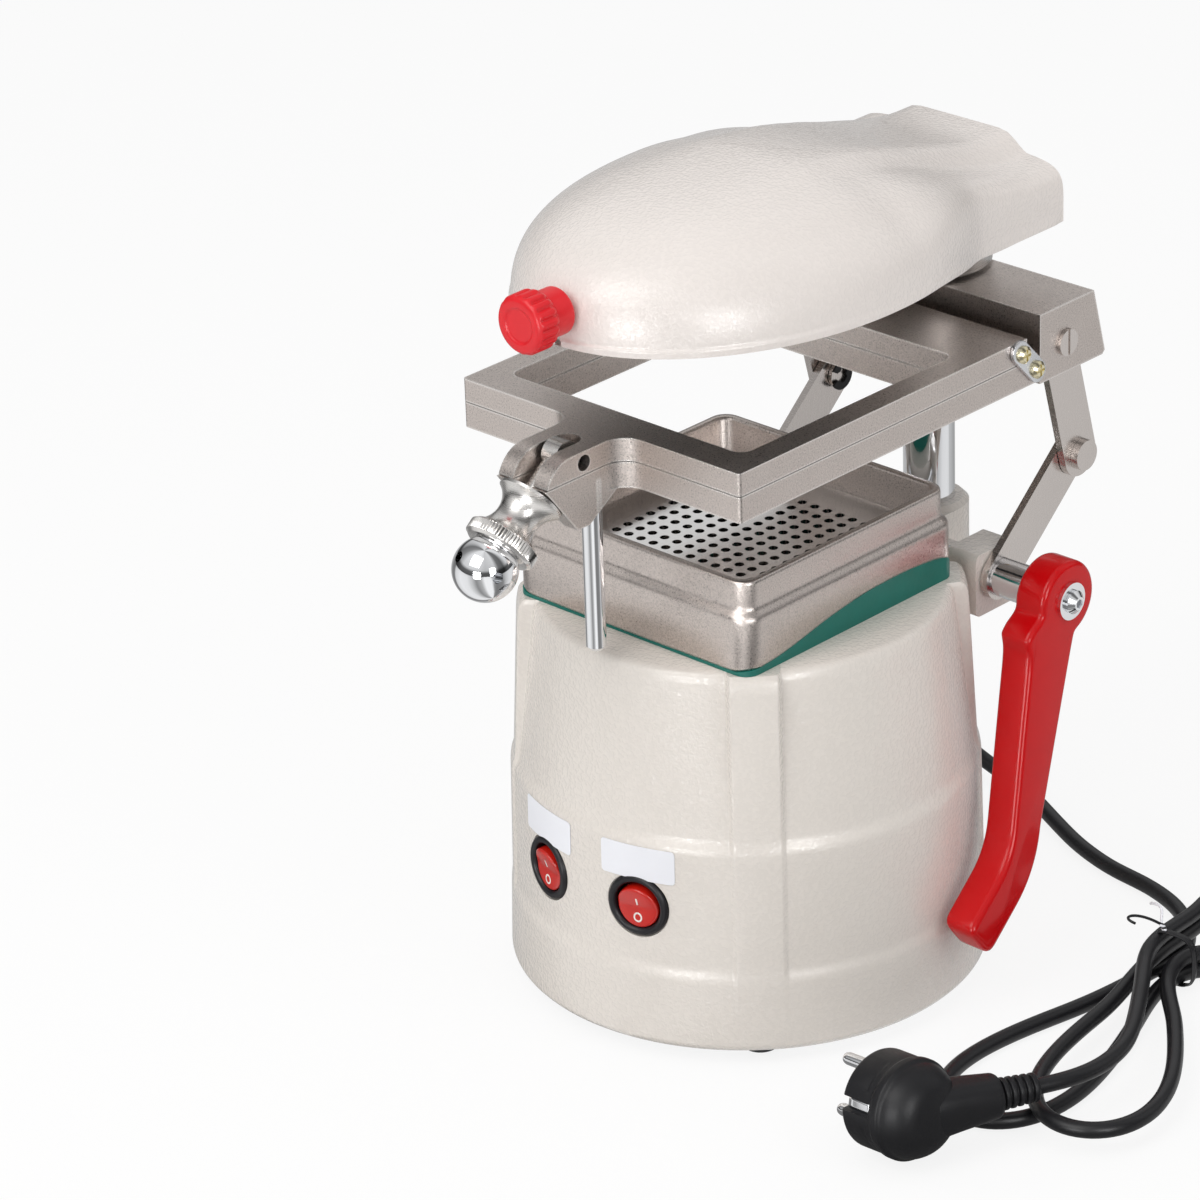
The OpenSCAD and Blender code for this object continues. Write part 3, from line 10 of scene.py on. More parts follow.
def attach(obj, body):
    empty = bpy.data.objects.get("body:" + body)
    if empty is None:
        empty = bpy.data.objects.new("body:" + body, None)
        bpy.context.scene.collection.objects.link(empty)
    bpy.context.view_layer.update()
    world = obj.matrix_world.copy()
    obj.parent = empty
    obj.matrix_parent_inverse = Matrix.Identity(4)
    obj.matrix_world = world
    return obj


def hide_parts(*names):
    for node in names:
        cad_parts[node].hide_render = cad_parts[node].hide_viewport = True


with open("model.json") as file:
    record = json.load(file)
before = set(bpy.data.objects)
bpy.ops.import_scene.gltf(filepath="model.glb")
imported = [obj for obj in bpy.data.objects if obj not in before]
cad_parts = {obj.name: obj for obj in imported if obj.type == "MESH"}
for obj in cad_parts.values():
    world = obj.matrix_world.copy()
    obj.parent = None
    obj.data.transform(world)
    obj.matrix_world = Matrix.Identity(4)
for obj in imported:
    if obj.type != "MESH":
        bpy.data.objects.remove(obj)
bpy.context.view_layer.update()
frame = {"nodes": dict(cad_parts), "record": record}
scene = bpy.context.scene
nodes = frame["nodes"]
mm = 0.001
print("frame loaded")

# Small geometry helpers. Every length below is in millimetres until a mesh is made.


# Vector divided by its length
def unit(v):
    v = np.asarray(v, float)
    return v / np.linalg.norm(v)


# Share from 0 at a to 1 at b: 3t^2 - 2t^3
def smooth(v, a, b):
    t = np.clip((np.asarray(v, float) - a) / (b - a), 0, 1)
    return t * t * (3 - 2 * t)


# Level direction at an angle from X towards Y
def heading(degrees):
    a = math.radians(degrees)
    return np.array([math.cos(a), math.sin(a), 0])


# Local points in the frame outside: origin + px * x + py * y + pz * z
def place(points, origin, x=(1, 0, 0), y=(0, 1, 0), z=(0, 0, 1)):
    p = np.asarray(points, float)
    origin, x, y, z = [np.asarray(v, float) for v in (origin, x, y, z)]
    return origin + p[..., 0:1] * x + p[..., 1:2] * y + p[..., 2:3] * z


# A shape is a pair of points and faces; this one is placed in another frame
def moved(shape, *axes):
    return place(shape[0], *axes), shape[1]


# Quads between neighbouring points of rows and columns, either of which may close on itself
def gridFaces(rows, cols, closedRows=False, closedCols=False, start=0):
    faces = []
    for i in range(rows if closedRows else rows - 1):
        a = start + i * cols
        b = start + (i + 1) % rows * cols
        for j in range(cols if closedCols else cols - 1):
            k = (j + 1) % cols
            faces.append((a + j, a + k, b + k, b + j))
    return faces


# Box between two corners
def box(low, high):
    corners = [(low[0], low[1]), (high[0], low[1]), (high[0], high[1]), (low[0], high[1])]
    verts = [(x, y, z) for z in (low[2], high[2]) for x, y in corners]
    return np.array(verts), [(0, 1, 2, 3), (4, 5, 6, 7), (0, 1, 5, 4), (1, 2, 6, 5), (2, 3, 7, 6), (3, 0, 4, 7)]


# Piece that rides on a body with its finish; its slot name is worked out, the name of its finish unless another is
# given, but it is not kept
def makePiece(name, shape, body, finish, replaced=(), slot="", weld=False, sharp=40):
    mesh = bpy.data.meshes.new(name)
    mesh.from_pydata((np.asarray(shape[0], float).reshape(-1, 3) * mm).tolist(), [], shape[1])
    bm = bmesh.new()
    bm.from_mesh(mesh)
    if weld:
        bmesh.ops.remove_doubles(bm, verts=bm.verts, dist=1e-6)
        bmesh.ops.dissolve_degenerate(bm, edges=bm.edges, dist=1e-7)
    bmesh.ops.recalc_face_normals(bm, faces=bm.faces)
    bm.to_mesh(mesh)
    bm.free()
    mesh.shade_smooth()
    if sharp:
        mesh.set_sharp_from_angle(angle=math.radians(sharp))
    obj = bpy.data.objects.new(name, mesh)
    scene.collection.objects.link(obj)
    if body:
        mesh.materials.append(finishes[finish])
        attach(obj, body)
        slot = finish if slot == "" else slot
        if replaced:
            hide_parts(*replaced)
    return obj


# The object's mesh with its modifiers applied
def bake(obj):
    bpy.context.view_layer.update()
    result = bpy.data.meshes.new_from_object(obj.evaluated_get(bpy.context.evaluated_depsgraph_get()))
    obj.modifiers.clear()
    obj.data = result


def thicken(obj, thick, offset=-1):
    m = obj.modifiers.new("thickness", "SOLIDIFY")
    m.thickness, m.offset = thick * mm, offset


# Bevel of the edges that turn by more than an angle
def roundEdges(obj, width, segments, angle=30):
    m = obj.modifiers.new("rim", "BEVEL")
    m.width, m.segments, m.limit_method, m.angle_limit = width * mm, segments, "ANGLE", math.radians(angle)
    return m


# Rounds the corners of a polyline of any dimension
def fillet(points, radii, steps=5):
    p = [np.asarray(q, float) for q in points]
    if not hasattr(radii, "__len__"):
        radii = [radii] * len(p)
    out = [p[0]]
    for i in range(1, len(p) - 1):
        a, c = p[i - 1] - p[i], p[i + 1] - p[i]
        la, lc = np.linalg.norm(a), np.linalg.norm(c)
        cut = min(radii[i], 0.48 * la, 0.48 * lc)
        if cut < 1e-6:
            out.append(p[i])
            continue
        first, last = p[i] + a / la * cut, p[i] + c / lc * cut
        for k in range(steps + 1):
            t = k / steps
            out.append((1 - t) ** 2 * first + 2 * t * (1 - t) * p[i] + t * t * last)
    out.append(p[-1])
    return np.array(out)


# Surface of revolution about the local z axis; each profile point is (radius, z)
def lathe(profile, count, closed=False, wave=None):
    profile = np.asarray(profile, float)
    turn = np.arange(count) * 2 * np.pi / count
    r, z = profile[:, 0:1], profile[:, 1:2]
    if wave is not None:
        r = r + wave(turn[None, :], r, z)
    verts = np.stack([r * np.cos(turn), r * np.sin(turn), z + 0 * turn * r], -1)
    return verts, gridFaces(len(profile), count, closed, True)


# Tube along a path, with one radius or one for each point
def sweep(path, radius, sides=20, capped=True):
    p = np.asarray(path, float)
    r = np.broadcast_to(np.asarray(radius, float), (len(p),))
    t = np.gradient(p, axis=0)
    t /= np.linalg.norm(t, axis=1)[:, None]
    side = unit(np.cross(t[0], [0.0, 0.0, 1.0]) if abs(t[0][2]) < 0.9 else np.cross(t[0], [1.0, 0.0, 0.0]))
    rings = []
    turn = np.arange(sides) * 2 * np.pi / sides
    for i in range(len(p)):
        side = unit(side - t[i] * (side @ t[i]))
        up = np.cross(side, t[i])
        rings.append(p[i] + r[i] * (np.cos(turn)[:, None] * side + np.sin(turn)[:, None] * up))
    faces = gridFaces(len(p), sides, False, True)
    if capped:
        faces += [tuple(range(sides)), tuple(range((len(p) - 1) * sides, len(p) * sides))]
    return np.array(rings), faces


# Flat outline with rounded rims, extruded along the local z axis; the outline runs round once
def roundedPlate(outline, low, high, rim, steps=4):
    p = np.asarray(outline, float)
    t = np.roll(p, -1, 0) - np.roll(p, 1, 0)
    t /= np.linalg.norm(t, axis=1)[:, None]
    area = 0.5 * np.sum(p[:, 0] * np.roll(p[:, 1], -1) - np.roll(p[:, 0], -1) * p[:, 1])
    n = np.stack([t[:, 1], -t[:, 0]], -1) * (1 if area > 0 else -1)
    rings = []
    arc = [k * math.pi / 2 / steps for k in range(steps + 1)]
    for a in arc:
        rings.append((rim * (1 - math.sin(a)), low + rim * (1 - math.cos(a))))
    for a in arc[::-1]:
        rings.append((rim * (1 - math.sin(a)), high - rim * (1 - math.cos(a))))
    verts = np.array([np.c_[p - n * inset, np.full(len(p), z)] for inset, z in rings])
    faces = gridFaces(len(rings), len(p), False, True)
    faces += [tuple(range(len(p))), tuple(range((len(rings) - 1) * len(p), len(rings) * len(p)))]
    return verts, faces


# Spaces the points of a polyline evenly
def resample(points, step, closed=False):
    p = np.asarray(points, float)
    if closed:
        p = np.vstack([p, p[:1]])
    s = np.r_[0, np.cumsum(np.linalg.norm(np.diff(p, axis=0), axis=1))]
    n = max(2, int(round(s[-1] / step)) + 1)
    q = np.linspace(0, s[-1], n)
    out = np.stack([np.interp(q, s, p[:, k]) for k in range(p.shape[1])], -1)
    return out[:-1] if closed else out


# Gaussian average along a polyline, whose ends stay where they are
def soften(points, sigma, closed=False):
    n = int(math.ceil(sigma * 3))
    kernel = np.exp(-0.5 * (np.arange(-n, n + 1) / sigma) ** 2)
    kernel /= kernel.sum()
    p = np.asarray(points, float)
    if closed:
        q = np.vstack([p[-n:], p, p[:n]])
    else:
        q = np.vstack([2 * p[0] - p[n:0:-1], p, 2 * p[-1] - p[-2:-n - 2:-1]])
    return np.stack([np.convolve(q[:, k], kernel, "valid") for k in range(p.shape[1])], -1)


# Camera, fitted to the photograph
camera = {
    "azimuth": 44.3, "elevation": 25.4, "distance": 1984, "lens": 159.42, "roll": -2.04, "aim": (-53.09, 150.02),
    "sensor": 36, "clip": (0.05, 30),
}


# Looks along the direction of azimuth and elevation at a point that lies aim away from the origin, then rolls
def makeCamera():
    a, e = math.radians(camera["azimuth"]), math.radians(camera["elevation"])
    r = math.radians(camera["roll"])
    back = np.array([math.sin(a) * math.cos(e), -math.cos(a) * math.cos(e), math.sin(e)])
    right = np.array([math.cos(a), math.sin(a), 0])
    up = np.cross(back, right)
    x = math.cos(r) * right + math.sin(r) * up
    y = -math.sin(r) * right + math.cos(r) * up
    at = right * camera["aim"][0] + np.array([0, 0, camera["aim"][1]]) + back * camera["distance"]
    data = bpy.data.cameras.new("photo_camera")
    data.lens = camera["lens"]
    data.sensor_width = camera["sensor"]
    data.sensor_fit = "HORIZONTAL"
    data.clip_start, data.clip_end = camera["clip"]
    obj = bpy.data.objects.new("photo_camera", data)
    scene.collection.objects.link(obj)
    obj.matrix_world = Matrix([(x[k], y[k], back[k], at[k] * mm) for k in range(3)] + [(0, 0, 0, 1)])
    scene.camera = obj


makeCamera()

# Materials


# Short calls for the nodes of a material, a world or a node group
class Graph:
    def __init__(self, tree):
        self.tree = tree

    # A socket as value is linked, anything else is set
    def put(self, socket, value):
        if hasattr(value, "links"):
            self.tree.links.new(value, socket)
        elif socket.type == "RGBA":
            socket.default_value = (*value, 1)
        else:
            socket.default_value = value

    # New node with its inputs by name or number; gives one of its outputs
    def add(self, kind, inputs=None, output=0, **settings):
        n = self.tree.nodes.new(kind)
        for key, value in settings.items():
            setattr(n, key, value)
        for key, value in (inputs or {}).items():
            self.put(n.inputs[key], value)
        return n.outputs[output] if n.outputs else n

    # X, Y and Z of a vector
    def parts(self, vector):
        n = self.tree.nodes.new("ShaderNodeSeparateXYZ")
        self.put(n.inputs["Vector"], vector)
        return n.outputs

    # The range a to b stretched to low to high, and cut off outside
    def span(self, fac, low, high, a=0.0, b=1.0):
        inputs = {"Value": fac, "From Min": a, "From Max": b, "To Min": low, "To Max": high}
        return self.add("ShaderNodeMapRange", inputs, "Result")

    def maths(self, operation, a, b):
        return self.add("ShaderNodeMath", {0: a, 1: b}, operation=operation)

    def mix(self, fac, a, b, blend="MIX"):
        return self.add("ShaderNodeMix", {"Factor": fac, 6: a, 7: b}, 2, data_type="RGBA", blend_type=blend)

    # Greys through stops of position and grey
    def greys(self, fac, stops):
        n = self.tree.nodes.new("ShaderNodeValToRGB")
        while len(n.color_ramp.elements) < len(stops):
            n.color_ramp.elements.new(0.5)
        for element, (at, grey) in zip(n.color_ramp.elements, stops):
            element.position, element.color = at, (grey, grey, grey, 1)
        self.put(n.inputs["Fac"], fac)
        return n.outputs["Color"]

    # Greys of what stands round the object, from atan2(x, y) over the whole turn
    def bands(self, direction, stops):
        turn = self.maths("ARCTAN2", direction["X"], direction["Y"])
        return self.greys(self.span(turn, 0, 1, -math.pi, math.pi), stops)

    # The second shader for a share of one kind of ray, the first for the rest
    def choose(self, ray, first, second, share=1.0):
        fac = self.add("ShaderNodeLightPath", output=ray)
        if share < 1:
            fac = self.maths("MULTIPLY", fac, share)
        return self.add("ShaderNodeMixShader", {"Fac": fac, 1: first, 2: second})


class Finish(Graph):
    def __init__(self, name, colour, metal=0.0, rough=0.4, **more):
        self.material = bpy.data.materials.new(name)
        self.material.use_nodes = True
        super().__init__(self.material.node_tree)
        self.shader = self.tree.nodes["Principled BSDF"]
        self.into("Base Color", colour)
        self.into("Metallic", metal)
        self.into("Roughness", rough)
        for key, value in more.items():
            self.into(key.replace("_", " "), value)
        self.material.diffuse_color = (*colour, 1)
        self.coords = self.add("ShaderNodeTexCoord", output="Object")
        self.normal = None

    def into(self, socket, value):
        self.put(self.shader.inputs[socket], value)

    def noise(self, scale, detail=2.0, rough=0.5, vector=None, distortion=0.0):
        inputs = {"Scale": scale, "Detail": detail, "Roughness": rough, "Distortion": distortion}
        return self.add("ShaderNodeTexNoise", {**inputs, "Vector": vector or self.coords}, "Fac")

    def mapped(self, scale, turn):
        inputs = {"Vector": self.coords, "Scale": scale, "Rotation": [math.radians(t) for t in turn]}
        return self.add("ShaderNodeMapping", inputs, "Vector")

    def relief(self, height, depth):
        inputs = {"Height": height, "Distance": depth * mm}
        if self.normal is not None:
            inputs["Normal"] = self.normal
        return self.add("ShaderNodeBump", inputs, "Normal")

    def bump(self, height, depth):
        self.normal = self.relief(height, depth)
        self.into("Normal", self.normal)
        self.into("Coat Normal", self.normal)

    # Relief of the clear coat alone, which breaks up highlights and leaves the colour under it even
    def clearBump(self, height, depth):
        self.into("Coat Normal", self.relief(height, depth))

    # Share of edge, from how far the rounded normal turns off the surface's own: a mask for edges painted bright,
    # partly wear and partly painted highlight
    def rim(self, radius):
        rounded = self.add("ShaderNodeBevel", {"Radius": radius * mm}, "Normal", samples=4)
        own = self.add("ShaderNodeNewGeometry", output="Normal")
        dot = self.add("ShaderNodeVectorMath", {0: rounded, 1: own}, "Value", operation="DOT_PRODUCT")
        return self.span(dot, 0.85, 0.0, 0.9, 0.995)


# Colour times a factor
def shade(colour, factor):
    return tuple(min(1, c * factor) for c in colour)


# Hammered enamel: cloudy tint, grainy colour and fine relief under a clear coat with a deeper one
def enamel(name, colour, grain, depth):
    f = Finish(name, colour, rough=0.34, Coat_Weight=0.9, Coat_Roughness=0.03)
    tint = f.span(f.noise(26, 3, 0.55), 0, 1, 0.3, 0.7)
    peel = f.noise(grain, 1.0, 0.4, distortion=0.6)
    fine = f.noise(grain * 2.3, 1.0, 0.4)
    cream = f.mix(tint, colour, shade(colour, 0.98))
    f.into("Base Color", f.mix(f.span(peel, 0.0, 0.8, 0.42, 0.62), cream, shade(colour, 1.03)))
    f.into("Roughness", f.span(f.noise(grain * 0.5, 2), 0.28, 0.42))
    f.bump(fine, depth * 0.12)
    f.clearBump(f.span(peel, 0, 1, 0.36, 0.64), depth * 2.2)
    return f.material


# Sand textured nickel with clouds, and edges painted bright: partly wear, partly painted highlight
def nickel(name, colour):
    f = Finish(name, colour, metal=1.0, rough=0.34)
    sand = f.noise(1500, 3, 0.8)
    cloud = f.noise(60, 3, 0.6)
    dull = f.mix(f.span(sand, 0, 1, 0.38, 0.62), shade(colour, 0.8), shade(colour, 1.18))
    tone = f.mix(f.span(cloud, 0, 0.3, 0.4, 0.7), dull, shade(colour, 1.1))
    rim = f.rim(1.3)
    # Painted highlight and wear: the edges' colour is lifted to a pale near-white
    f.into("Base Color", f.mix(rim, tone, (0.93, 0.9, 0.87)))
    f.into("Roughness", f.maths("SUBTRACT", f.span(sand, 0.24, 0.42, 0.3, 0.7), f.maths("MULTIPLY", rim, 0.12)))
    f.bump(sand, 0.09)
    return f.material


# Metal with lines of stretched noise
def brushed(name, colour, scale, turn=(0, 0, 0), rough=(0.22, 0.38), depth=0.02):
    f = Finish(name, colour, metal=1.0, rough=rough[0])
    lines = f.noise(1, 4, 0.65, f.mapped(scale, turn))
    f.into("Base Color", f.mix(lines, shade(colour, 0.88), shade(colour, 1.08)))
    f.into("Roughness", f.span(lines, rough[0], rough[1], 0.3, 0.7))
    f.bump(lines, depth)
    return f.material


# Smooth metal whose roughness varies a little
def polished(name, colour, rough=0.05):
    f = Finish(name, colour, metal=1.0, rough=rough)
    f.into("Roughness", f.span(f.noise(180, 4, 0.7), rough, rough * 2.2, 0.4, 0.8))
    f.bump(f.noise(500, 2), 0.002)
    return f.material


# Plastic, rubber or paint whose colour varies a little either way
def plastic(name, colour, rough=0.3, grain=800, depth=0.02, vary=0.1, **more):
    f = Finish(name, colour, rough=rough, **more)
    f.into("Base Color", f.mix(f.noise(140, 3), shade(colour, 1 - vary), shade(colour, 1 + vary)))
    f.into("Roughness", f.span(f.noise(90, 3), rough * 0.85, rough * 1.2))
    f.bump(f.noise(grain, 2), depth)
    return f.material


noTurn = (0, 0, 0)
finishes = {
    "cream_enamel": enamel("cream_hammered_enamel", (0.75, 0.70, 0.648), 640, 0.16),
    "dome_enamel": enamel("dome_enamel", (0.78, 0.725, 0.69), 700, 0.11),
    "satin_nickel": nickel("satin_nickel", (0.62, 0.56, 0.525)),
    "link_steel": brushed("brushed_links", (0.68, 0.63, 0.6), (200, 2200, 200), noTurn, (0.2, 0.3), 0.01),
    "polished_chrome": polished("polished_chrome", (0.86, 0.87, 0.89)),
    "turned_steel": brushed("turned_steel", (0.74, 0.72, 0.70), (60, 60, 2600), (-128, 0, 0), (0.2, 0.36)),
    "zinc_steel": brushed("zinc_plated", (0.72, 0.73, 0.75), (700, 700, 700), noTurn, (0.2, 0.34), 0.01),
    "yellow_zinc": polished("yellow_zinc", (0.80, 0.73, 0.50), 0.16),
    "teal_silicone": plastic("teal_silicone", (0.0, 0.155, 0.122), 0.42, 500, 0.03, 0.12),
    "perforated_steel": brushed("perforated_steel", (0.86, 0.85, 0.84), (1500, 240, 240), noTurn, (0.12, 0.2), 0.006),
    "black_rubber": plastic("black_rubber", (0.012, 0.012, 0.014), 0.55, 700, 0.03, Specular_IOR_Level=0.3),
    "black_pvc": plastic("black_pvc", (0.010, 0.010, 0.012), 0.36, 400, 0.015, Specular_IOR_Level=0.4),
    "plug_plastic": plastic("plug_plastic", (0.010, 0.010, 0.012), 0.42, 900, 0.04, Specular_IOR_Level=0.32),
    "switch_black": plastic("switch_black", (0.012, 0.011, 0.014), 0.34, 900, 0.01, Specular_IOR_Level=0.35),
    "rocker_red": plastic(
        "rocker_red", (0.56, 0.012, 0.006), 0.16, 300, 0.004, 0.12, Coat_Weight=0.4, Specular_IOR_Level=0.4,
    ),
    "handle_red": plastic(
        "handle_red", (0.57, 0.002, 0.004), 0.22, 140, 0.05, 0.05,
        Coat_Weight=0.2, Coat_Roughness=0.05, Specular_IOR_Level=0.2,
    ),
    "knob_red": plastic(
        "knob_red", (0.72, 0.01, 0.018), 0.32, 500, 0.01, 0.06, Coat_Weight=0.12, Specular_IOR_Level=0.35,
    ),
    "knurled_steel": polished("knurled_steel", (0.78, 0.76, 0.74), 0.14),
    "heater_black": plastic("heater_black", (0.03, 0.028, 0.027), 0.55, 500, 0.04),
    "bush_bronze": brushed("bush_bronze", (0.5, 0.36, 0.2), (900, 900, 900), noTurn, (0.35, 0.5), 0.01),
    "motor_steel": plastic("motor_paint", (0.09, 0.1, 0.11), 0.45, 600, 0.04),
    "cast_aluminium": nickel("cast_aluminium", (0.7, 0.71, 0.72)),
    "ceramic": plastic("ceramic", (0.8, 0.78, 0.72), 0.6, 900, 0.03, 0.04),
    "terminal_white": plastic("terminal_white", (0.78, 0.76, 0.7), 0.5, 900, 0.01, 0.03),
    "label_white": plastic("label_white", (0.86, 0.87, 0.92), 0.3, 300, 0.004, 0.02),
    "mark_white": plastic("mark_white", (0.9, 0.82, 0.78), 0.4, 300, 0.002, 0.02),
}
print("materials made")

# Mains lead: the route points of the CAD model, in millimetres
cordRoute = {
    "diameter": 6.2,
    "lead": [
        [-58.25, 109.57, 118], [-60.5, 113.8, 117.2], [-65, 122, 113.5], [-69, 130.5, 105], [-70.5, 138, 92],
        [-69, 144.5, 76], [-65, 150, 59], [-58.5, 155.5, 43], [-49, 160.5, 28.5], [-37, 164.5, 16.5],
        [-22, 166.5, 8.5], [-5, 165, 4.6], [12, 159, 3.6], [30, 150, 3.3], [49, 141, 3.2],
        [70, 134.5, 3.2], [92, 131.5, 3.2], [111, 124.5, 3.3], [126, 111.5, 3.8], [134.8, 97, 4.3],
    ],
    "plugLead": [
        [135.6, 76.5, 17], [138.6, 69.5, 17.4], [143.2, 62, 17.6], [148.8, 54, 17.7], [155.5, 44, 17.8],
        [164, 31, 18.2], [171.5, 18.5, 18.6], [176.5, 7.5, 18.9], [179, -4, 19.2], [179.2, -15, 19.6],
        [176.6, -26, 19.9], [171.8, -36.4, 20],
    ],
    "tie": (139, 83), "nearAxis": (-86.5, -66.5), "farAxis": 76, "nearLength": 131, "farLength": 70,
    "waist": 4.4, "lobe": 30, "pinch": 0.28, "layer": 6.7, "lift": 1.2,
}


# Point of the tied loops at t degrees: lobes on both sides of the tie, one turn laid on the other
def hankPoint(t, c=cordRoute):
    s = math.sin(math.radians(t))
    along = s * (c["nearLength"] if s > 0 else c["farLength"])
    spread = math.sqrt(s * s + c["pinch"] ** 2) - c["pinch"]
    across = math.cos(math.radians(t)) * (c["waist"] + 2 * c["lobe"] * spread)
    near = c["nearAxis"][min(int((t + 90) // 360), 1)]
    a = math.radians(c["farAxis"] - 180 + float(smooth(s, -0.35, 0.35)) * (near - c["farAxis"] + 180))
    turn = int(t // 360)
    height = c["diameter"] / 2 + c["layer"] * (turn + float(smooth(t - 360 * turn, 185, 262)))
    x = c["tie"][0] + along * math.cos(a) + across * math.sin(a)
    y = c["tie"][1] + along * math.sin(a) - across * math.cos(a)
    return [x, y, height + c["lift"] * math.exp(-along * along / 300)]


# Catmull-Rom curve through the points
def throughPoints(p, steps):
    p = np.asarray(p, float)
    out = []
    for i in range(len(p) - 1):
        a, b, c, d = p[max(i - 1, 0)], p[i], p[i + 1], p[min(i + 2, len(p) - 1)]
        for k in range(steps):
            t = k / steps
            curve = (2 * a - 5 * b + 4 * c - d) * t * t + (3 * b - a - 3 * c + d) * t ** 3
            out.append(0.5 * (2 * b + (c - a) * t + curve))
    out.append(p[-1])
    return out


# The whole lead is one tube from the strain relief through the loops to the plug; its sharp joints are softened
def makeCord():
    hank = [hankPoint(t) for t in range(0, 721, 5)]
    lead = throughPoints(cordRoute["lead"] + [hank[0]], 6)
    last = throughPoints([hank[-1]] + cordRoute["plugLead"], 6)
    line = resample(lead[:-1] + hank + last[1:], 1.5)
    start, end = line[0].copy(), line[-1].copy()
    line = soften(line, 3.0)
    line = resample(np.vstack([start, line[2:-2], end]), 2.5)
    tube = sweep(line, cordRoute["diameter"] / 2, 18)
    cord = makePiece("power_cord", tube, "base", "black_pvc", ("cord_lead", "cord_hank", "cord_plug_lead"))
    length = float(np.linalg.norm(np.diff(line, axis=0), axis=1).sum())
    print("cord length", round(length / 1000, 4))
    return cord, line, length


cord, cordLine, cordLength = makeCord()

# Tapered strain relief where the lead leaves the body, ribbed like the real one
bootSettings = {
    "angle": 118, "radius": 81.6, "height": 118, "length": 42, "root": 6.5, "tip": 4.0, "slots": 7, "first": 6,
    "collar": [(0, -10), (4.6, -10), (4.9, -9.5), (4.9, 0.3), (7.9, 0.3), (7.9, 2.8), (6.9, 3.3)],
}


# Tapered rings along the lead, turned about its way out of the body
def makeBoot():
    s = bootSettings
    out = heading(s["angle"])
    profile = list(s["collar"])
    pitch = (s["length"] - 2 * s["first"]) / s["slots"]
    for k in range(s["slots"]):
        z = s["first"] + k * pitch
        r0, r1 = [s["root"] - (s["root"] - s["tip"]) * (q - 3) / (s["length"] - 3) for q in (z, z + pitch)]
        profile += [(r0, z), (r0 - 0.1, z + pitch * 0.55), (r0 - 1.3, z + pitch * 0.62), (r1 - 1.2, z + pitch * 0.93)]
    profile += [(4.3, s["length"] - 5.6), (4.0, s["length"] - 0.4), (3.7, s["length"]), (0, s["length"])]
    at = out * s["radius"] + np.array([0, 0, s["height"]])
    shape = moved(lathe(fillet(profile, 0.35, 3), 40), at, [0, 0, 1], np.cross(out, [0, 0, 1]), out)
    return makePiece("strain_relief", shape, "base", "black_rubber", ("cord_boot",), weld=True)


makeBoot()

# Moulded mains plug: ribbed tail, neck and a round head at an angle to it
plugSettings = {
    "end": (171.75, -36.5, 20), "angle": 243, "tail": 15, "neck": 27, "ribs": 5, "pitch": 2.9,
    "head": (152, -79, 21.2), "headAngle": 174, "dip": 7, "roll": 16, "length": 21, "radius": 18.5,
    "radii": [0, 3, 3, 3, 2, 0.8, 0.6, 0.6, 1, 1, 0.9, 0.7, 0.3, 0.3, 0],
    "pins": 9.5, "clipHalf": 1.9, "clipThick": 0.6, "fingers": 1.9,
    "clip": [(-13.4, 15.2), (-11, 16.0), (-4, 16.1), (-1.2, 15.4), (-0.1, 14.2)],
}


# Axes of the head: the pins' own axis, then the roll about it
def headFrame():
    s = plugSettings
    a, d, r = [math.radians(v) for v in (s["headAngle"], s["dip"], s["roll"])]
    z = np.array([math.cos(a) * math.cos(d), math.sin(a) * math.cos(d), -math.sin(d)])
    y0 = np.array([-math.sin(a), math.cos(a), 0])
    x0 = np.cross(y0, z)
    return x0 * math.cos(r) + y0 * math.sin(r), y0 * math.cos(r) - x0 * math.sin(r), z


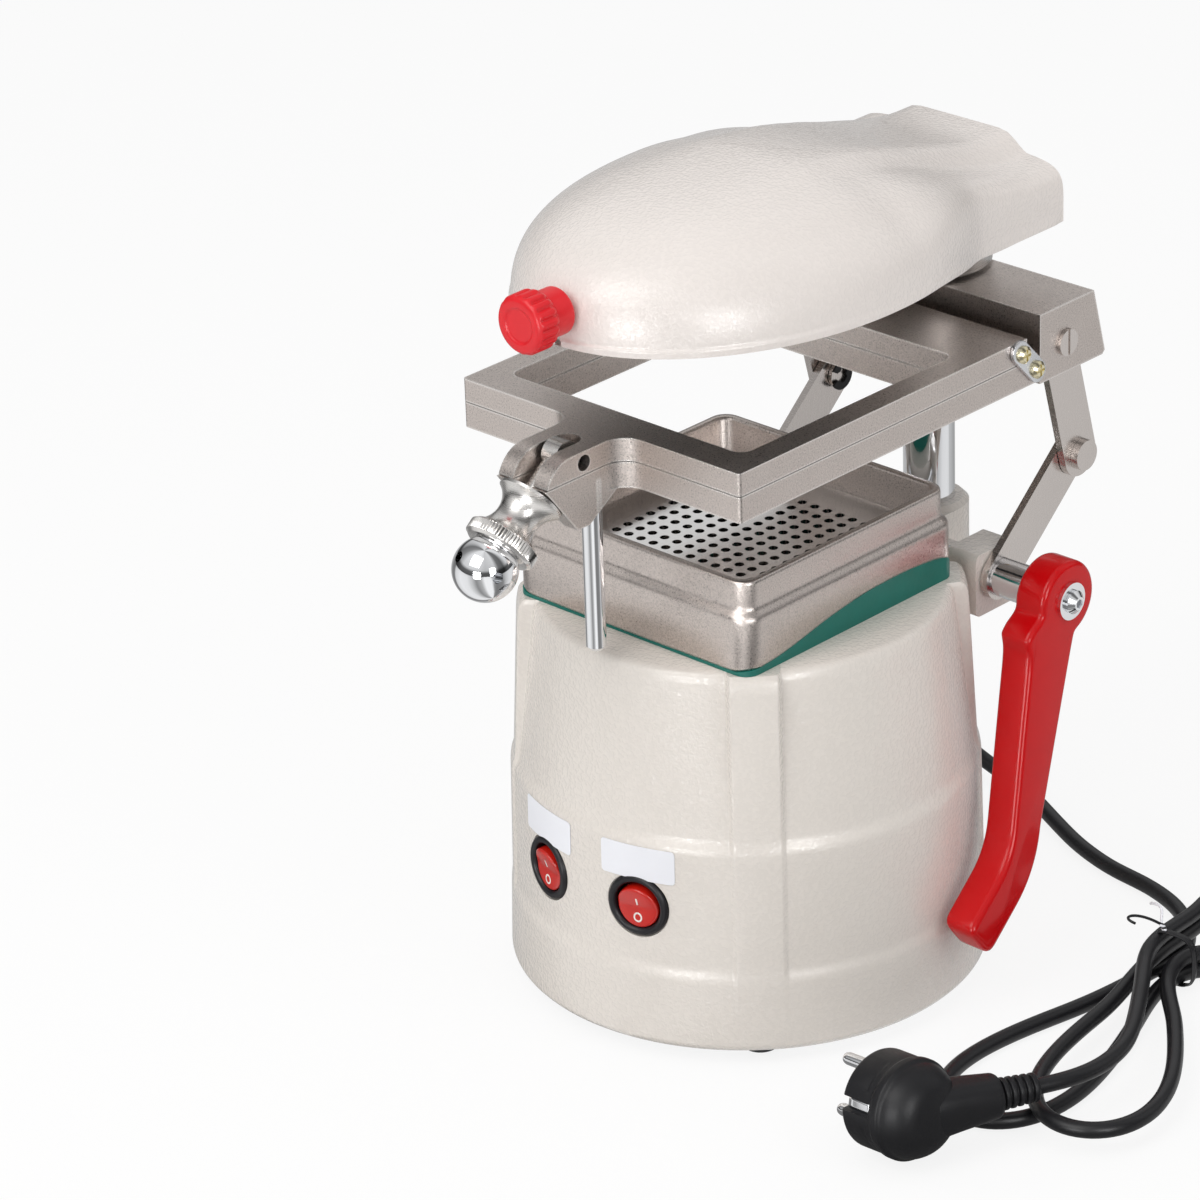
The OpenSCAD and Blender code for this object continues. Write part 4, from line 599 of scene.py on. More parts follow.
def makePlug():
    s = plugSettings
    d = heading(s["angle"])
    tail = s["tail"]
    profile = [(0, 0), (4.1, 0)]
    for k in range(s["ribs"]):
        z, r = 0.8 + k * s["pitch"], 5.4 + 0.16 * k
        profile += [(r, z), (r, z + 1.7), (r - 1.3, z + 1.9), (r - 1.3, z + 2.7)]
    profile += [(7.4, tail + 0.2), (8.3, tail + 1.6), (9.6, tail + 16)]
    profile += [(11, tail + s["neck"]), (0, tail + s["neck"] + 4)]

    # The neck is a little squared
    def squeeze(turn, r, z):
        return smooth(z, tail, tail + 6) * r * 0.05 * np.cos(4 * turn + math.pi)

    shape = moved(lathe(fillet(profile, 0.5, 3), 64, wave=squeeze), s["end"], np.cross(d, [0, 0, 1]), [0, 0, 1], d)
    parts = [makePiece("plug_neck", shape, "base", "plug_plastic", weld=True)]
    x, y, z = headFrame()
    n, r = s["length"], s["radius"]
    outline = [
        (0, -10), (6, -9.6), (11.5, -8.4), (15.4, -5), (17.4, -1.2), (18.0, 1.2), (19.1, 2.2), (19.1, 5.2), (18.3, 6.4),
        (r, 9), (r, n - 1.4), (r - 1.2, n), (13.8, n), (13.4, n - 0.4), (0, n - 0.4),
    ]

    # Two flats with finger ribs at the sides of the head, and a slot for the earth contact on each
    def grip(turn, r, z):
        near = np.min([np.abs(np.angle(np.exp(1j * (turn + a)))) for a in (-math.pi / 2, math.pi / 2)], axis=0)
        slot = (1 - smooth(near * r, 2.1, 2.7)) * smooth(z, n - 14.4, n - 13.6) * (r > 13.9)
        rib = 0.35 * (0.5 + 0.5 * np.cos(z * 2 * math.pi / s["fingers"]))
        rib = rib * smooth(near, 0.34, 0.42) * (1 - smooth(near, 1.05, 1.15))
        rib = rib * smooth(z, 8.6, 9.4) * (1 - smooth(z, n - 4, n - 3.2)) * (r > 17)
        return -3.6 * slot - rib

    head = moved(lathe(fillet(outline, s["radii"], 3), 300, wave=grip), s["head"], x, y, z)
    parts.append(makePiece("plug_head", head, "base", "plug_plastic", ("cord_plug",), weld=True, sharp=50))
    pin = fillet([(0, n - 1), (2.4, n - 1), (2.4, n + 17.0), (1.9, n + 18.4), (0.9, n + 19.0), (0, n + 19.0)], 0.9, 4)
    for side, name in ((-1, "plug_pin_upper"), (1, "plug_pin_lower")):
        verts, faces = lathe(pin, 28)
        shape = place(verts + np.array([side * s["pins"], 0, 0]), s["head"], x, y, z), faces
        parts.append(makePiece(name, shape, "base", "polished_chrome", weld=True))
    for side, name in ((-1, "earth_clip_front"), (1, "earth_clip_rear")):
        across = np.linspace(-s["clipHalf"], s["clipHalf"], 5)
        clip = [(u, side * h, n + v) for u in across for v, h in s["clip"]]
        parts.append(makePiece(name, moved((clip, gridFaces(5, 5)), s["head"], x, y, z), "base", "polished_chrome"))
        thicken(parts[-1], s["clipThick"])
    return parts


plugParts = makePlug()

# Twist tie: a paper and wire band drawn round the runs of the hank, with two twisted tails
tieSettings = {
    "half": 9.6, "low": 0.7, "high": 21.7, "turn": 92, "shift": (3.0, -1.2), "square": 0.62, "steps": 72,
    "band": [(-1.6, 0), (-0.6, 0.15), (0, 0.5), (0.6, 0.15), (1.6, 0), (1.6, -0.3), (-1.6, -0.3)],
    "knot": (4.5, 0.2), "rise": (-1.2, -0.5, 2.0), "twisted": 0.35, "wire": 0.55, "points": 60,
    "tails": [
        ("tie_tail_dark", "black_pvc", 0, (-9, -7, 2.0)), ("tie_tail_pale", "label_white", math.pi, (-7, 8, 3.0)),
    ],
}


# The band follows a squared oval; each tail winds round the other first, then arches away to its end
def makeTie():
    c, s = cordRoute, tieSettings
    along = heading(s["turn"])
    across = np.array([-along[1], along[0], 0])
    up = np.array([0, 0, 1])
    centre = np.array([c["tie"][0] + s["shift"][0], c["tie"][1] + s["shift"][1], 0])
    middle, tall = (s["high"] + s["low"]) / 2, (s["high"] - s["low"]) / 2
    rings = []
    for k in range(s["steps"]):
        t = 2 * math.pi * k / s["steps"]
        u = math.copysign(abs(math.cos(t)) ** s["square"], math.cos(t)) * s["half"]
        v = math.copysign(abs(math.sin(t)) ** s["square"], math.sin(t)) * tall
        n = unit([u / s["half"], v / tall])
        at = centre + across * u + up * (middle + v)
        rings.append([at + (across * n[0] + up * n[1]) * h + along * w for w, h in s["band"]])
    loop = np.array(rings), gridFaces(s["steps"], len(s["band"]), True, True)
    parts = [makePiece("tie_band", loop, "base", "black_pvc", ("cord_tie",), sharp=60)]
    root = centre + across * s["knot"][0] + up * (s["high"] + s["knot"][1])
    rise = np.array(s["rise"])
    for name, finish, phase, end in s["tails"]:
        path = []
        for t in np.arange(s["points"]) / (s["points"] - 1):
            q = t / s["twisted"]
            if q < 1:
                spin = phase + q * 9
                path.append(root + rise * q + (across * math.cos(spin) + along * math.sin(spin)) * 0.6)
                continue
            q = (t - s["twisted"]) / (1 - s["twisted"])
            hook = across * 3.2 * math.sin(q * 4.4 + phase) * q + along * 2.4 * (math.cos(q * 5) - 1) * q
            arch = np.array(end) * math.sin(q * 1.7) + up * 2.6 * math.sin(q * math.pi)
            path.append(root + rise + arch + hook)
        parts.append(makePiece(name, sweep(soften(path, 1.2), s["wire"], 8), "base", finish, slot=None))
    return parts


tieParts = makeTie()
print("lead, plug and tie made")


# Cast body: a round shell with a foot ring, two ridges and four upright pilasters
bodySettings = {
    "round": [(89.4, 6), (91.4, 8), (90.3, 35), (88.9, 39), (88.1, 87), (86, 91), (79, 152), (78.1, 154.8), (76, 156)],
    "pilaster": [
        (89.4, 6), (91.4, 8), (90.5, 35), (90, 39), (89, 87), (87.6, 91), (84.4, 151), (83.5, 154.4),
        (81.4, 156),
    ],
    "radii": [0, 1.6, 1.8, 1.8, 1.8, 1.8, 3.0, 1.4, 0],
    "half": 9.7, "soft": 1.5, "angles": (45, 135, 225, 315), "step": 4.5,
    "inside": [
        (60, 156), (21, 156), (20.6, 155.6), (20.6, 150.2), (40, 150), (73, 149.5), (74.4, 145), (81.4, 92), (83.6, 84),
        (84.3, 42), (86.3, 37), (86.6, 6),
    ],
    "switchHole": [(0, -14), (10.5, -14), (10.5, 0), (12.8, 0), (12.8, 6), (0, 6)],
    "cordHole": [(0, -14), (5, -14), (5, 0), (8.6, 0), (8.6, 9), (0, 9)],
    "yokeSeat": [
        ((-15.6, 74.05, 97.8), (15.6, 114, 165)), ((-59.5, 70.8, 132.8), (59.5, 114, 165)),
        ((43.3, 66.8, 132.8), (63.5, 114, 165)), ((-63.5, 66.8, 132.8), (-43.3, 114, 165)),
    ],
}
switchSettings = {
    "angle": 15, "radius": 87, "height": 62, "axis": -3, "tilt": 8, "lens": 8.45, "hole": 9.35, "face": 4.5,
    "rise": 0.2, "round": 0.7, "sides": 96,
}


# Outward and level directions of a switch and its middle on the body, by its angle from the front
def switchFrame(side):
    s = switchSettings
    t = math.radians(s["angle"] * side)
    out = np.array([math.sin(t), -math.cos(t), 0])
    across = np.array([math.cos(t), math.sin(t), 0])
    return out, across, out * s["radius"] + np.array([0, 0, s["height"]])


# Two profiles, blended by the distance from the nearest pilaster's middle, and holes for switches, cord and yoke
def makeBody():
    s = bodySettings
    profiles = []
    for name in ("round", "pilaster"):
        profiles.append(fillet(s[name], s["radii"], 5))
    rows = [profiles[0][0:1]], [profiles[1][0:1]]
    for i in range(1, len(profiles[0])):
        n = max(1, int(round(np.linalg.norm(profiles[0][i] - profiles[0][i - 1]) / s["step"])))
        for row, p in zip(rows, profiles):
            row += [(p[i - 1] + (p[i] - p[i - 1]) * k / n)[None] for k in range(1, n + 1)]
    near = np.concatenate([np.linspace(-8.4, -5.2, 14), np.linspace(-4.6, 4.6, 9), np.linspace(5.2, 8.4, 14)])
    turns = np.concatenate([centre + np.r_[near, np.linspace(9.4, 80.6, 42)] for centre in s["angles"]])
    turns = np.radians(turns)
    off = np.abs(np.angle(np.exp(1j * (turns[:, None] - np.radians(s["angles"])[None, :])))).min(1)
    rings = []
    for (ra, za), (rb, zb) in zip(np.vstack(rows[0]), np.vstack(rows[1])):
        t = np.sin(off) * 0.5 * (ra + rb)
        w = 1 - smooth(t, s["half"] - s["soft"], s["half"] + s["soft"] * 0.7)
        r, z = ra + (rb - ra) * w, za + (zb - za) * w
        rings.append(np.stack([r * np.cos(turns), r * np.sin(turns), z], -1))
    for r, z in s["inside"]:
        rings.append(np.stack([r * np.cos(turns), r * np.sin(turns), z + 0 * turns], -1))
    shell = np.array(rings), gridFaces(len(rings), len(turns), True, True)
    body = makePiece("cast_body", shell, "base", "cream_enamel", ("body_shell",), sharp=0)
    cutters = []
    for side in (-1, 1):
        out, across, at = switchFrame(side)
        cutters.append(moved(lathe(s["switchHole"], 64), at, across, (0, 0, 1), out))
    out = heading(bootSettings["angle"])
    at = out * bootSettings["radius"] + np.array([0, 0, bootSettings["height"]])
    cutters.append(moved(lathe(s["cordHole"], 48), at, np.cross([0, 0, 1], out), (0, 0, 1), out))
    cutters += [box(*corners) for corners in s["yokeSeat"]]
    temporary = []
    for k, shape in enumerate(cutters):
        c = makePiece(f"cutter_{k}", shape, None, None, weld=True, sharp=0)
        m = body.modifiers.new(f"cut_{k}", "BOOLEAN")
        m.operation, m.solver, m.object = "DIFFERENCE", "EXACT", c
        temporary.append(c)
    bake(body)
    for c in temporary:
        bpy.data.objects.remove(c)
    body.data.shade_smooth()
    body.data.set_sharp_from_angle(angle=math.radians(32))
    return body


makeBody()
print("body made")

# Heater dome: the lines of the CAD model with a blunter front, a small bead along the rim and a finer skin
domeSettings = {
    "middle": 5, "front": 97, "half": 71.5, "neck": 50, "rim": 281, "neckRim": 273, "height": 42, "blunt": (2.7, 0.33),
    "wall": 3.5, "rear": 127, "bead": 0.6, "beadTop": 3.2, "spine": 7, "spineHalf": 22, "tip": -92, "innerRear": 79.5,
}


# Half width along y: two half ellipses, and the rear one runs smoothly into the neck's half width
def domeHalf(y):
    s = domeSettings
    fore = s["half"] * np.sqrt(np.clip(1 - ((s["middle"] - y) / s["front"]) ** 2, 0, 1))
    aft = s["half"] * np.sqrt(np.clip(1 - ((y - s["middle"]) / (s["front"] - 2)) ** 2, 0, 1))
    neck = s["neck"] + 2.4 * (1 - smooth(y, 50, 80))
    joined = 0.5 * (aft + neck + np.sqrt((aft - neck) ** 2 + 40))
    return np.where(y < s["middle"], fore, aft + (joined - aft) * smooth(y, s["middle"], 40))


# Height of the rim along y: it drops towards the neck
def domeRim(y):
    s = domeSettings
    return s["rim"] + (s["neckRim"] - s["rim"]) * smooth(y, 30, 92)


# Height of the crown along y: a blunt curve 1 - (1 - u^a)^b at the front, and a fall to the neck at the rear
def domeCrown(y):
    s = domeSettings
    a, b = s["blunt"]
    fore = s["rim"] + s["height"] * np.clip(1 - np.clip((s["middle"] - y) / s["front"], 0, 1) ** a, 0, 1) ** b
    aft = s["rim"] + s["height"] + (s["neckRim"] + 23 - s["rim"] - s["height"]) * smooth(y, s["middle"], 120)
    return np.where(y < s["middle"], fore, aft)


# Points over y and the angle from the crown, set in by a wall; superellipses that get squarer towards the neck
def domeSkin(ys, turns, inset, bead=0.0):
    s = domeSettings
    y = ys[:, None]
    a = turns[None, :]
    w = np.maximum(domeHalf(y) - inset, 0.01)
    rim = domeRim(y)
    h = np.maximum(domeCrown(y) - rim - inset, 0.01)
    p = 2.35 + 4.15 * smooth(y, 20, 105)
    x = w * np.sign(np.sin(a)) * np.abs(np.sin(a)) ** np.minimum(1, 2 / p)
    z = rim + h * np.abs(np.cos(a)) ** (2 / p)
    # The spine: flat on top with a clear edge, rising out of the crown towards the neck
    t = np.abs(x) - s["spineHalf"]
    fall = np.clip(1 - 0.5 * (t + np.sqrt(t * t + 3)) / 11, 0, 1)
    fall = fall * fall * (3 - 2 * fall) * 0.5 + fall * 0.5
    lift = (1.1 * smooth(y, -35, 15) + (s["spine"] - 1.1) * smooth(y, 5, 95)) * fall
    z = z + lift * np.abs(np.cos(a)) ** 0.3
    points = np.stack([x, y + 0 * x, z], -1)
    if bead:
        share = (1 - smooth(z - rim, s["beadTop"] - 1.1, s["beadTop"] + 0.5)) * bead
        gy, gx = np.gradient(points[..., 1], axis=0), np.gradient(points[..., 0], axis=0)
        out = np.stack([gy * np.sign(x), -gx * np.sign(x), 0 * gx], -1)
        out /= np.maximum(np.linalg.norm(out, axis=-1, keepdims=True), 1e-6)
        points = points + out * share[..., None] * (1 - smooth(y, 121, 126))[..., None]
    return points


# Outer and inner skin, joined along the rims; the upright rear end is closed by one face for each skin
def makeDome():
    s = domeSettings
    n, m, k = 170, 132, 60
    edge = np.linspace(0, 1, m // 2 + 1)
    half = 1 - (1 - edge) ** 1.8
    turns = np.radians(90) * np.concatenate([-half[::-1], half[1:]])
    t = np.linspace(0, 1, n + 1)
    ys = s["tip"] + 0.02 + (s["rear"] - s["tip"]) * (1 - np.cos(math.pi * t ** 0.92)) / 2
    outer = domeSkin(ys, turns, 0, s["bead"])
    inside = s["innerRear"] - s["tip"] - s["wall"]
    inside = s["tip"] + s["wall"] + 0.2 + inside * (1 - np.cos(math.pi * np.linspace(0, 1, k + 1))) / 2
    inner = domeSkin(inside, np.radians(90) * np.linspace(-1, 1, k + 1), s["wall"])
    start = outer.shape[0] * outer.shape[1]
    p = np.vstack([outer.reshape(-1, 3), inner.reshape(-1, 3)])
    w1, w2 = m + 1, k + 1
    faces = gridFaces(n + 1, w1) + gridFaces(w2, w2, start=start)

    # Triangles between two edges whose points don't match: the one that lags behind in y moves on
    def bridge(first, second):
        i = j = 0
        while i < len(first) - 1 or j < len(second) - 1:
            if j == len(second) - 1 or (i < len(first) - 1 and p[first[i + 1]][1] <= p[second[j + 1]][1]):
                faces.append((first[i], first[i + 1], second[j]))
                i += 1
            else:
                faces.append((first[i], second[j + 1], second[j]))
                j += 1

    bridge([i * w1 for i in range(n + 1)], [start + i * w2 for i in range(k + 1)])
    bridge([i * w1 + m for i in range(n + 1)], [start + i * w2 + k for i in range(k + 1)])
    faces.append((0, start, start + k, m))
    faces.append((n * w1, start + k * w2, start + k * w2 + k, n * w1 + m))
    faces.append(tuple(n * w1 + j for j in range(m + 1)))
    faces.append(tuple(start + k * w2 + j for j in range(w2)))
    dome = makePiece("heater_dome", (p, faces), "heater", "dome_enamel", ("dome_shell",), weld=True, sharp=50)
    roundEdges(dome, 1.0, 4, 50)
    return dome


makeDome()
print("dome made")

# Side handle: one bent bar with rounded rims that leans outwards below the boss
handleSettings = {
    "shaft": (79, 78, 147.5), "thick": 14.5, "boss": 15.1, "width": 16.5, "drop": 78.5, "lean": 17, "turn": 38,
    "grip": 22.8, "flare": 8, "top": -10.4, "bend": 40, "rim": 2.6,
    "shoulder": [(-17.0, -3.2), (-20.6, -5.2), (-24.0, -8.8), (-23.6, -11.2), (-23.0, -14.5), (-24.3, -20.0)],
}


# An outline in the plane of the arm, plated to its thickness, and flared outwards below the boss
def makeHandle():
    s = handleSettings
    lean, half = math.radians(s["lean"]), s["width"] / 2
    d = np.array([-math.sin(lean), -math.cos(lean)])
    n = np.array([math.cos(lean), -math.sin(lean)])
    top = np.array([s["top"], 0.0])
    foot = top + d * (s["drop"] / math.cos(lean))
    centre = foot - n * s["bend"]
    line = []
    # Boss from where the rear edge of the arm leaves it, over the top and down its front to the shoulder of the arm
    for a in np.radians(np.arange(-74, 188, 4)):
        line.append(s["boss"] * np.array([math.cos(a), math.sin(a)]))
    line += [np.array(q, float) for q in s["shoulder"]]
    line += [foot - n * half]
    arc = np.linspace(-s["lean"], -s["lean"] - s["turn"], 16)[1:]
    for a in np.radians(arc):
        line.append(centre + (s["bend"] - half) * np.array([math.cos(a), math.sin(a)]))
    last = math.radians(-s["lean"] - s["turn"])
    out = np.array([math.cos(last), math.sin(last)])
    on = np.array([math.sin(last), -math.cos(last)])
    tip = centre + out * s["bend"] + on * s["grip"]
    line += [tip - out * half, tip + out * half]
    for a in np.radians(arc[::-1]):
        line.append(centre + (s["bend"] + half) * np.array([math.cos(a), math.sin(a)]))
    line.append(foot + n * half)
    p = np.array(line)
    corners = {i for i in range(len(p)) if np.linalg.norm(p[i] - tip) < half + 0.5}
    ring = np.vstack([p[-1:], p, p[:1]])
    radii = [0] + [4.6 if i in corners else 1.6 for i in range(len(p))] + [0]
    p = soften(resample(fillet(ring, radii, 4)[1:-1], 0.8, True), 1.1, True)
    verts, faces = roundedPlate(p, 0, s["thick"], s["rim"], 5)
    v = verts.reshape(-1, 3)
    below = -v[:, 1] - 14
    shift = math.tan(math.radians(s["flare"])) * 0.5 * (below + np.sqrt(below ** 2 + 16)) * smooth(below, -12, 4)
    v = np.stack([s["shaft"][0] + v[:, 2] + shift, s["shaft"][1] + v[:, 0], s["shaft"][2] + v[:, 1]], -1)
    return makePiece("side_handle", (v, faces), "crank", "handle_red", ("handle",), sharp=60)


makeHandle()

# Fluted knob on the front of the dome
knobSettings = {
    "face": 112, "height": 294.5, "flutes": 18, "deep": 0.95, "step": 0.7,
    "outline": [
        (0, 0.75), (6.0, 0.75), (6.9, 0.1), (9.0, 0.1), (10.1, 0.5), (11.3, 1.9), (11.3, 8.7), (10.5, 10.2),
        (9.3, 10.7), (8.9, 11.2), (8.9, 19.2), (8.4, 20), (3.1, 20), (3.1, 25), (0, 25),
    ],
    "radii": [0, 0.5, 0.5, 0.6, 0.8, 0.9, 0.9, 0.6, 0.3, 0.3, 0.8, 0.4, 0.2, 0.2, 0],
}


def makeKnob():
    s = knobSettings
    profile = fillet(s["outline"], s["radii"], 4)

    # Narrow grooves between broad ribs, on the rim alone
    def flute(turn, r, z):
        groove = (0.5 + 0.5 * np.cos(turn * s["flutes"])) ** 2.2
        return -s["deep"] * groove * smooth(z, 1.0, 2.6) * (1 - smooth(z, 9.9, 10.6)) * (r > 9.4)

    dense = []
    for a, b in zip(profile[:-1], profile[1:]):
        n = max(1, int(np.linalg.norm(b - a) / s["step"]))
        dense += [a + (b - a) * k / n for k in range(n)]
    dense.append(profile[-1])
    shape = moved(lathe(dense, 252, wave=flute), (0, -s["face"], s["height"]), (1, 0, 0), (0, 0, -1), (0, 1, 0))
    return makePiece("fluted_knob", shape, "heater", "knob_red", ("dome_knob",), weld=True)


makeKnob()


# Round rocker switch: the bezel with its barrel and two terminals
def makeBezel(side, name, replaced):
    s = switchSettings
    out, across, at = switchFrame(side)
    hole = s["hole"]
    outline = [
        (hole - 0.2, -9), (hole - 0.2, 0.6), (hole, 1.5), (hole + 0.75, 2.35), (11.5, 2.3), (12.35, 1.2),
        (12.4, 0.08), (10.45, 0.08), (10.45, -16), (2, -16), (2, -9), (hole - 0.2, -9),
    ]
    profile = fillet(outline, [0, 0.4, 0.4, 0.5, 0.7, 0.6, 0.15, 0.2, 0.4, 0.3, 0.3, 0], 4)[:-1]
    shape = moved(lathe(profile, s["sides"], closed=True), at, across, (0, 0, 1), out)
    makePiece(name, shape, "base", "switch_black", (replaced,), sharp=50)
    for k, x in enumerate((-4, 4)):
        shape = moved(box((x - 0.4, -3, -23), (x + 0.4, 3, -16)), at, across, (0, 0, 1), out)
        tab = makePiece(f"{name}_tab_{k + 1}", shape, "base", "zinc_steel", slot="switch_black")
        roundEdges(tab, 0.15, 2)


# Points of a switch in the frame outside, turned about the rocker's axis by its tilt
def tilted(points, side):
    s = switchSettings
    out, across, at = switchFrame(side)
    t = math.radians(s["tilt"])
    p = np.asarray(points, float)
    y, z = p[..., 1], p[..., 2]
    y, z = y * math.cos(t) - z * math.sin(t), y * math.sin(t) + z * math.cos(t) + s["axis"]
    return place(np.stack([p[..., 0], y, z], -1), at, across, (0, 0, 1), out)


# Height of the lens: a shallow valley along its middle, and a fall by the fourth power of r towards its rim
def lensHeight(y, r=0.0):
    s = switchSettings
    return s["face"] + s["rise"] * (np.sqrt(y * y + 0.8) - 0.9) - 0.25 * (r / s["lens"]) ** 4


# Flat cap with a rounded rim over a cone that reaches into the barrel
def makeLens(side, name, body, replaced):
    s = switchSettings
    turn = np.arange(s["sides"]) * 2 * np.pi / s["sides"]
    flat = s["lens"] - s["round"]
    rings = []

    def ring(r, height):
        y = r * np.sin(turn)
        rings.append(np.stack([r * np.cos(turn), y, height(y) + 0 * turn], -1))

    for r in np.linspace(0.01, flat, 16):
        ring(r, lambda y: lensHeight(y, r))
    for a in np.arange(1, 7) * math.pi / 12:
        ring(flat + s["round"] * math.sin(a), lambda y: lensHeight(y, s["lens"]) - s["round"] * (1 - math.cos(a)) * 1.2)
    for z, r in ((1.5, s["lens"]), (-2.5, s["lens"] - 0.3), (-4.4, s["lens"] - 3.5), (-4.6, 0.01)):
        ring(r, lambda y: z)
    shape = tilted(np.array(rings), side), gridFaces(len(rings), s["sides"], False, True)
    return makePiece(name, shape, body, "rocker_red", (replaced,), weld=True, sharp=60)


# A bar and an oval ring, laid on the lens
markSettings = {
    "bar": (0.9, 4.0), "barHalf": 0.36, "rows": 8, "ring": (1.15, 1.8), "ringAt": -4.3, "tall": 1.1, "count": 48,
    "lift": 0.03, "thick": 0.06,
}


def makeMarks(side, name, body):
    s = markSettings
    points = [(x, y) for y in np.linspace(*s["bar"], s["rows"]) for x in (-s["barHalf"], s["barHalf"])]
    verts = [(x, y, lensHeight(y, abs(y)) + s["lift"]) for x, y in points]
    faces = gridFaces(s["rows"], 2) + gridFaces(2, s["count"], False, True, len(verts))
    for r in s["ring"]:
        for a in np.arange(s["count"]) * 2 * math.pi / s["count"]:
            x, y = r * math.cos(a), s["ringAt"] + r * math.sin(a) * s["tall"]
            verts.append((x, y, lensHeight(y, math.hypot(x, y)) + s["lift"]))
    thicken(makePiece(name, (tilted(verts, side), faces), body, "mark_white", slot="rocker_red"), s["thick"])


# Bare plate on the body over a switch, with rounded corners
labelSettings = {
    "width": 30.5, "low": 73.0, "high": 86.6, "corner": 1.4, "thick": 0.35, "rows": 15, "cols": 41, "rim": 0.12,
    "body": (88.9, 39), "lean": 0.8 / 48, "gap": 0.05,
}


def makeLabel(side, name):
    s = labelSettings
    low, high, c = s["low"], s["high"], s["corner"]
    centre = math.radians(-90 + switchSettings["angle"] * side)
    extra = c * np.array([0.06, 0.25, 0.55])
    rows = np.sort(np.r_[np.linspace(low, high, s["rows"]), low + extra, high - extra])
    verts = []
    for z in rows:
        near = min(z - low, high - z)
        cut = c - math.sqrt(max(0, c * c - (c - near) ** 2)) if near < c else 0
        r = s["body"][0] - (z - s["body"][1]) * s["lean"] + s["gap"]
        for u in np.linspace(-1, 1, s["cols"]):
            a = centre + u * (s["width"] / 2 - cut) / r
            verts.append((r * math.cos(a), r * math.sin(a), z))
    plate = makePiece(name, (verts, gridFaces(len(rows), s["cols"])), "base", "label_white", slot="cream_enamel")
    thicken(plate, s["thick"], 1)
    roundEdges(plate, s["rim"], 2)


for side, word in ((1, "heat"), (-1, "model")):
    makeBezel(side, f"{word}_switch_bezel", f"{word}_switch_housing")
    makeLens(side, f"{word}_rocker_lens", f"{word}_rocker", f"{word}_switch_rocker")
    makeMarks(side, f"{word}_rocker_marks", f"{word}_rocker")
for side, word in ((1, "heat"), (-1, "model")):
    makeLabel(side, f"{word}_label_plate")

# Open retaining clip with three inner lugs at the left elbow
clipSettings = {
    "centre": (-55.6, 120.5, 184.5), "radius": 5.9, "bore": 3.1, "lug": 0.9, "open": 150, "thick": 0.8, "steps": 49,
}


def makeClip():
    s = clipSettings
    rings = []
    for a in np.radians(np.linspace(-s["open"], s["open"], s["steps"])):
        inner = s["bore"] - s["lug"] * max(0, math.cos(3 * a)) ** 2
        corners = ((0, s["radius"]), (s["thick"], s["radius"]), (s["thick"], inner), (0, inner))
        rings.append([(x, r * math.cos(a), r * math.sin(a)) for x, r in corners])
    last = 4 * (len(rings) - 1)
    faces = gridFaces(len(rings), 4, False, True) + [(0, 1, 2, 3), tuple(last + j for j in (3, 2, 1, 0))]
    return makePiece("elbow_clip", (np.array(rings) + s["centre"], faces), "crank", "black_rubber", slot="link_steel")


makeClip()

# Hinge pin of the clamp, pressed in below the faces of the tab, so that its hole shows
pinSettings = {"centre": (0, -94, 239.75), "radius": 2.45, "half": 8.4, "chamfer": (0.45, 0.4)}


def makePin():
    s = pinSettings
    r, h, (cr, ch) = s["radius"], s["half"], s["chamfer"]
    profile = fillet([(0, -h), (r - cr, -h), (r, ch - h), (r, h - ch), (r - cr, h), (0, h)], 0.3, 3)
    shape = moved(lathe(profile, 32), s["centre"], (0, 1, 0), (0, 0, 1), (1, 0, 0))
    return makePiece("clamp_hinge_pin", shape, "film_frame", "black_rubber", ("clamp_pin",), "link_steel", weld=True)


makePin()

# Heat reflector: a spun bowl with a rolled rim, hung under the dome on three posts
reflectorSettings = {
    "centre": (0, -3), "low": 282, "high": 298, "radius": 55, "posts": 22, "top": 314, "angles": (90, 210, 330),
    "foot": 5.2, "post": 4,
}


def makeReflector():
    s = reflectorSettings
    r, low, high = s["radius"], s["low"], s["high"]
    line = [
        (0, high), (r - 5, high), (r - 0.6, high - 5), (r, low + 2), (r, low), (r - 1, low),
        (r - 1, low + 2), (r - 1.6, high - 5.4), (r - 5.6, high - 1), (0, high - 1),
    ]
    at = np.array([*s["centre"], 0])
    bowl = moved(lathe(fillet(line, [0, 2.5, 2.5, 0.6, 0.4, 0.4, 0.6, 2, 2, 0], 4), 96), at)
    makePiece("spun_reflector", bowl, "heater", "zinc_steel", ("heat_reflector",), weld=True)
    line = [(0, high - 0.5), (s["foot"], high - 0.5), (s["foot"], high + 1.5), (s["post"], high + 2.2)]
    post = lathe(fillet(line + [(s["post"], s["top"]), (0, s["top"])], 0.4, 3), 28)
    for k, angle in enumerate(s["angles"]):
        shape = moved(post, at + s["posts"] * heading(angle))
        makePiece(f"reflector_post_{k + 1}", shape, "heater", "zinc_steel", weld=True)


makeReflector()

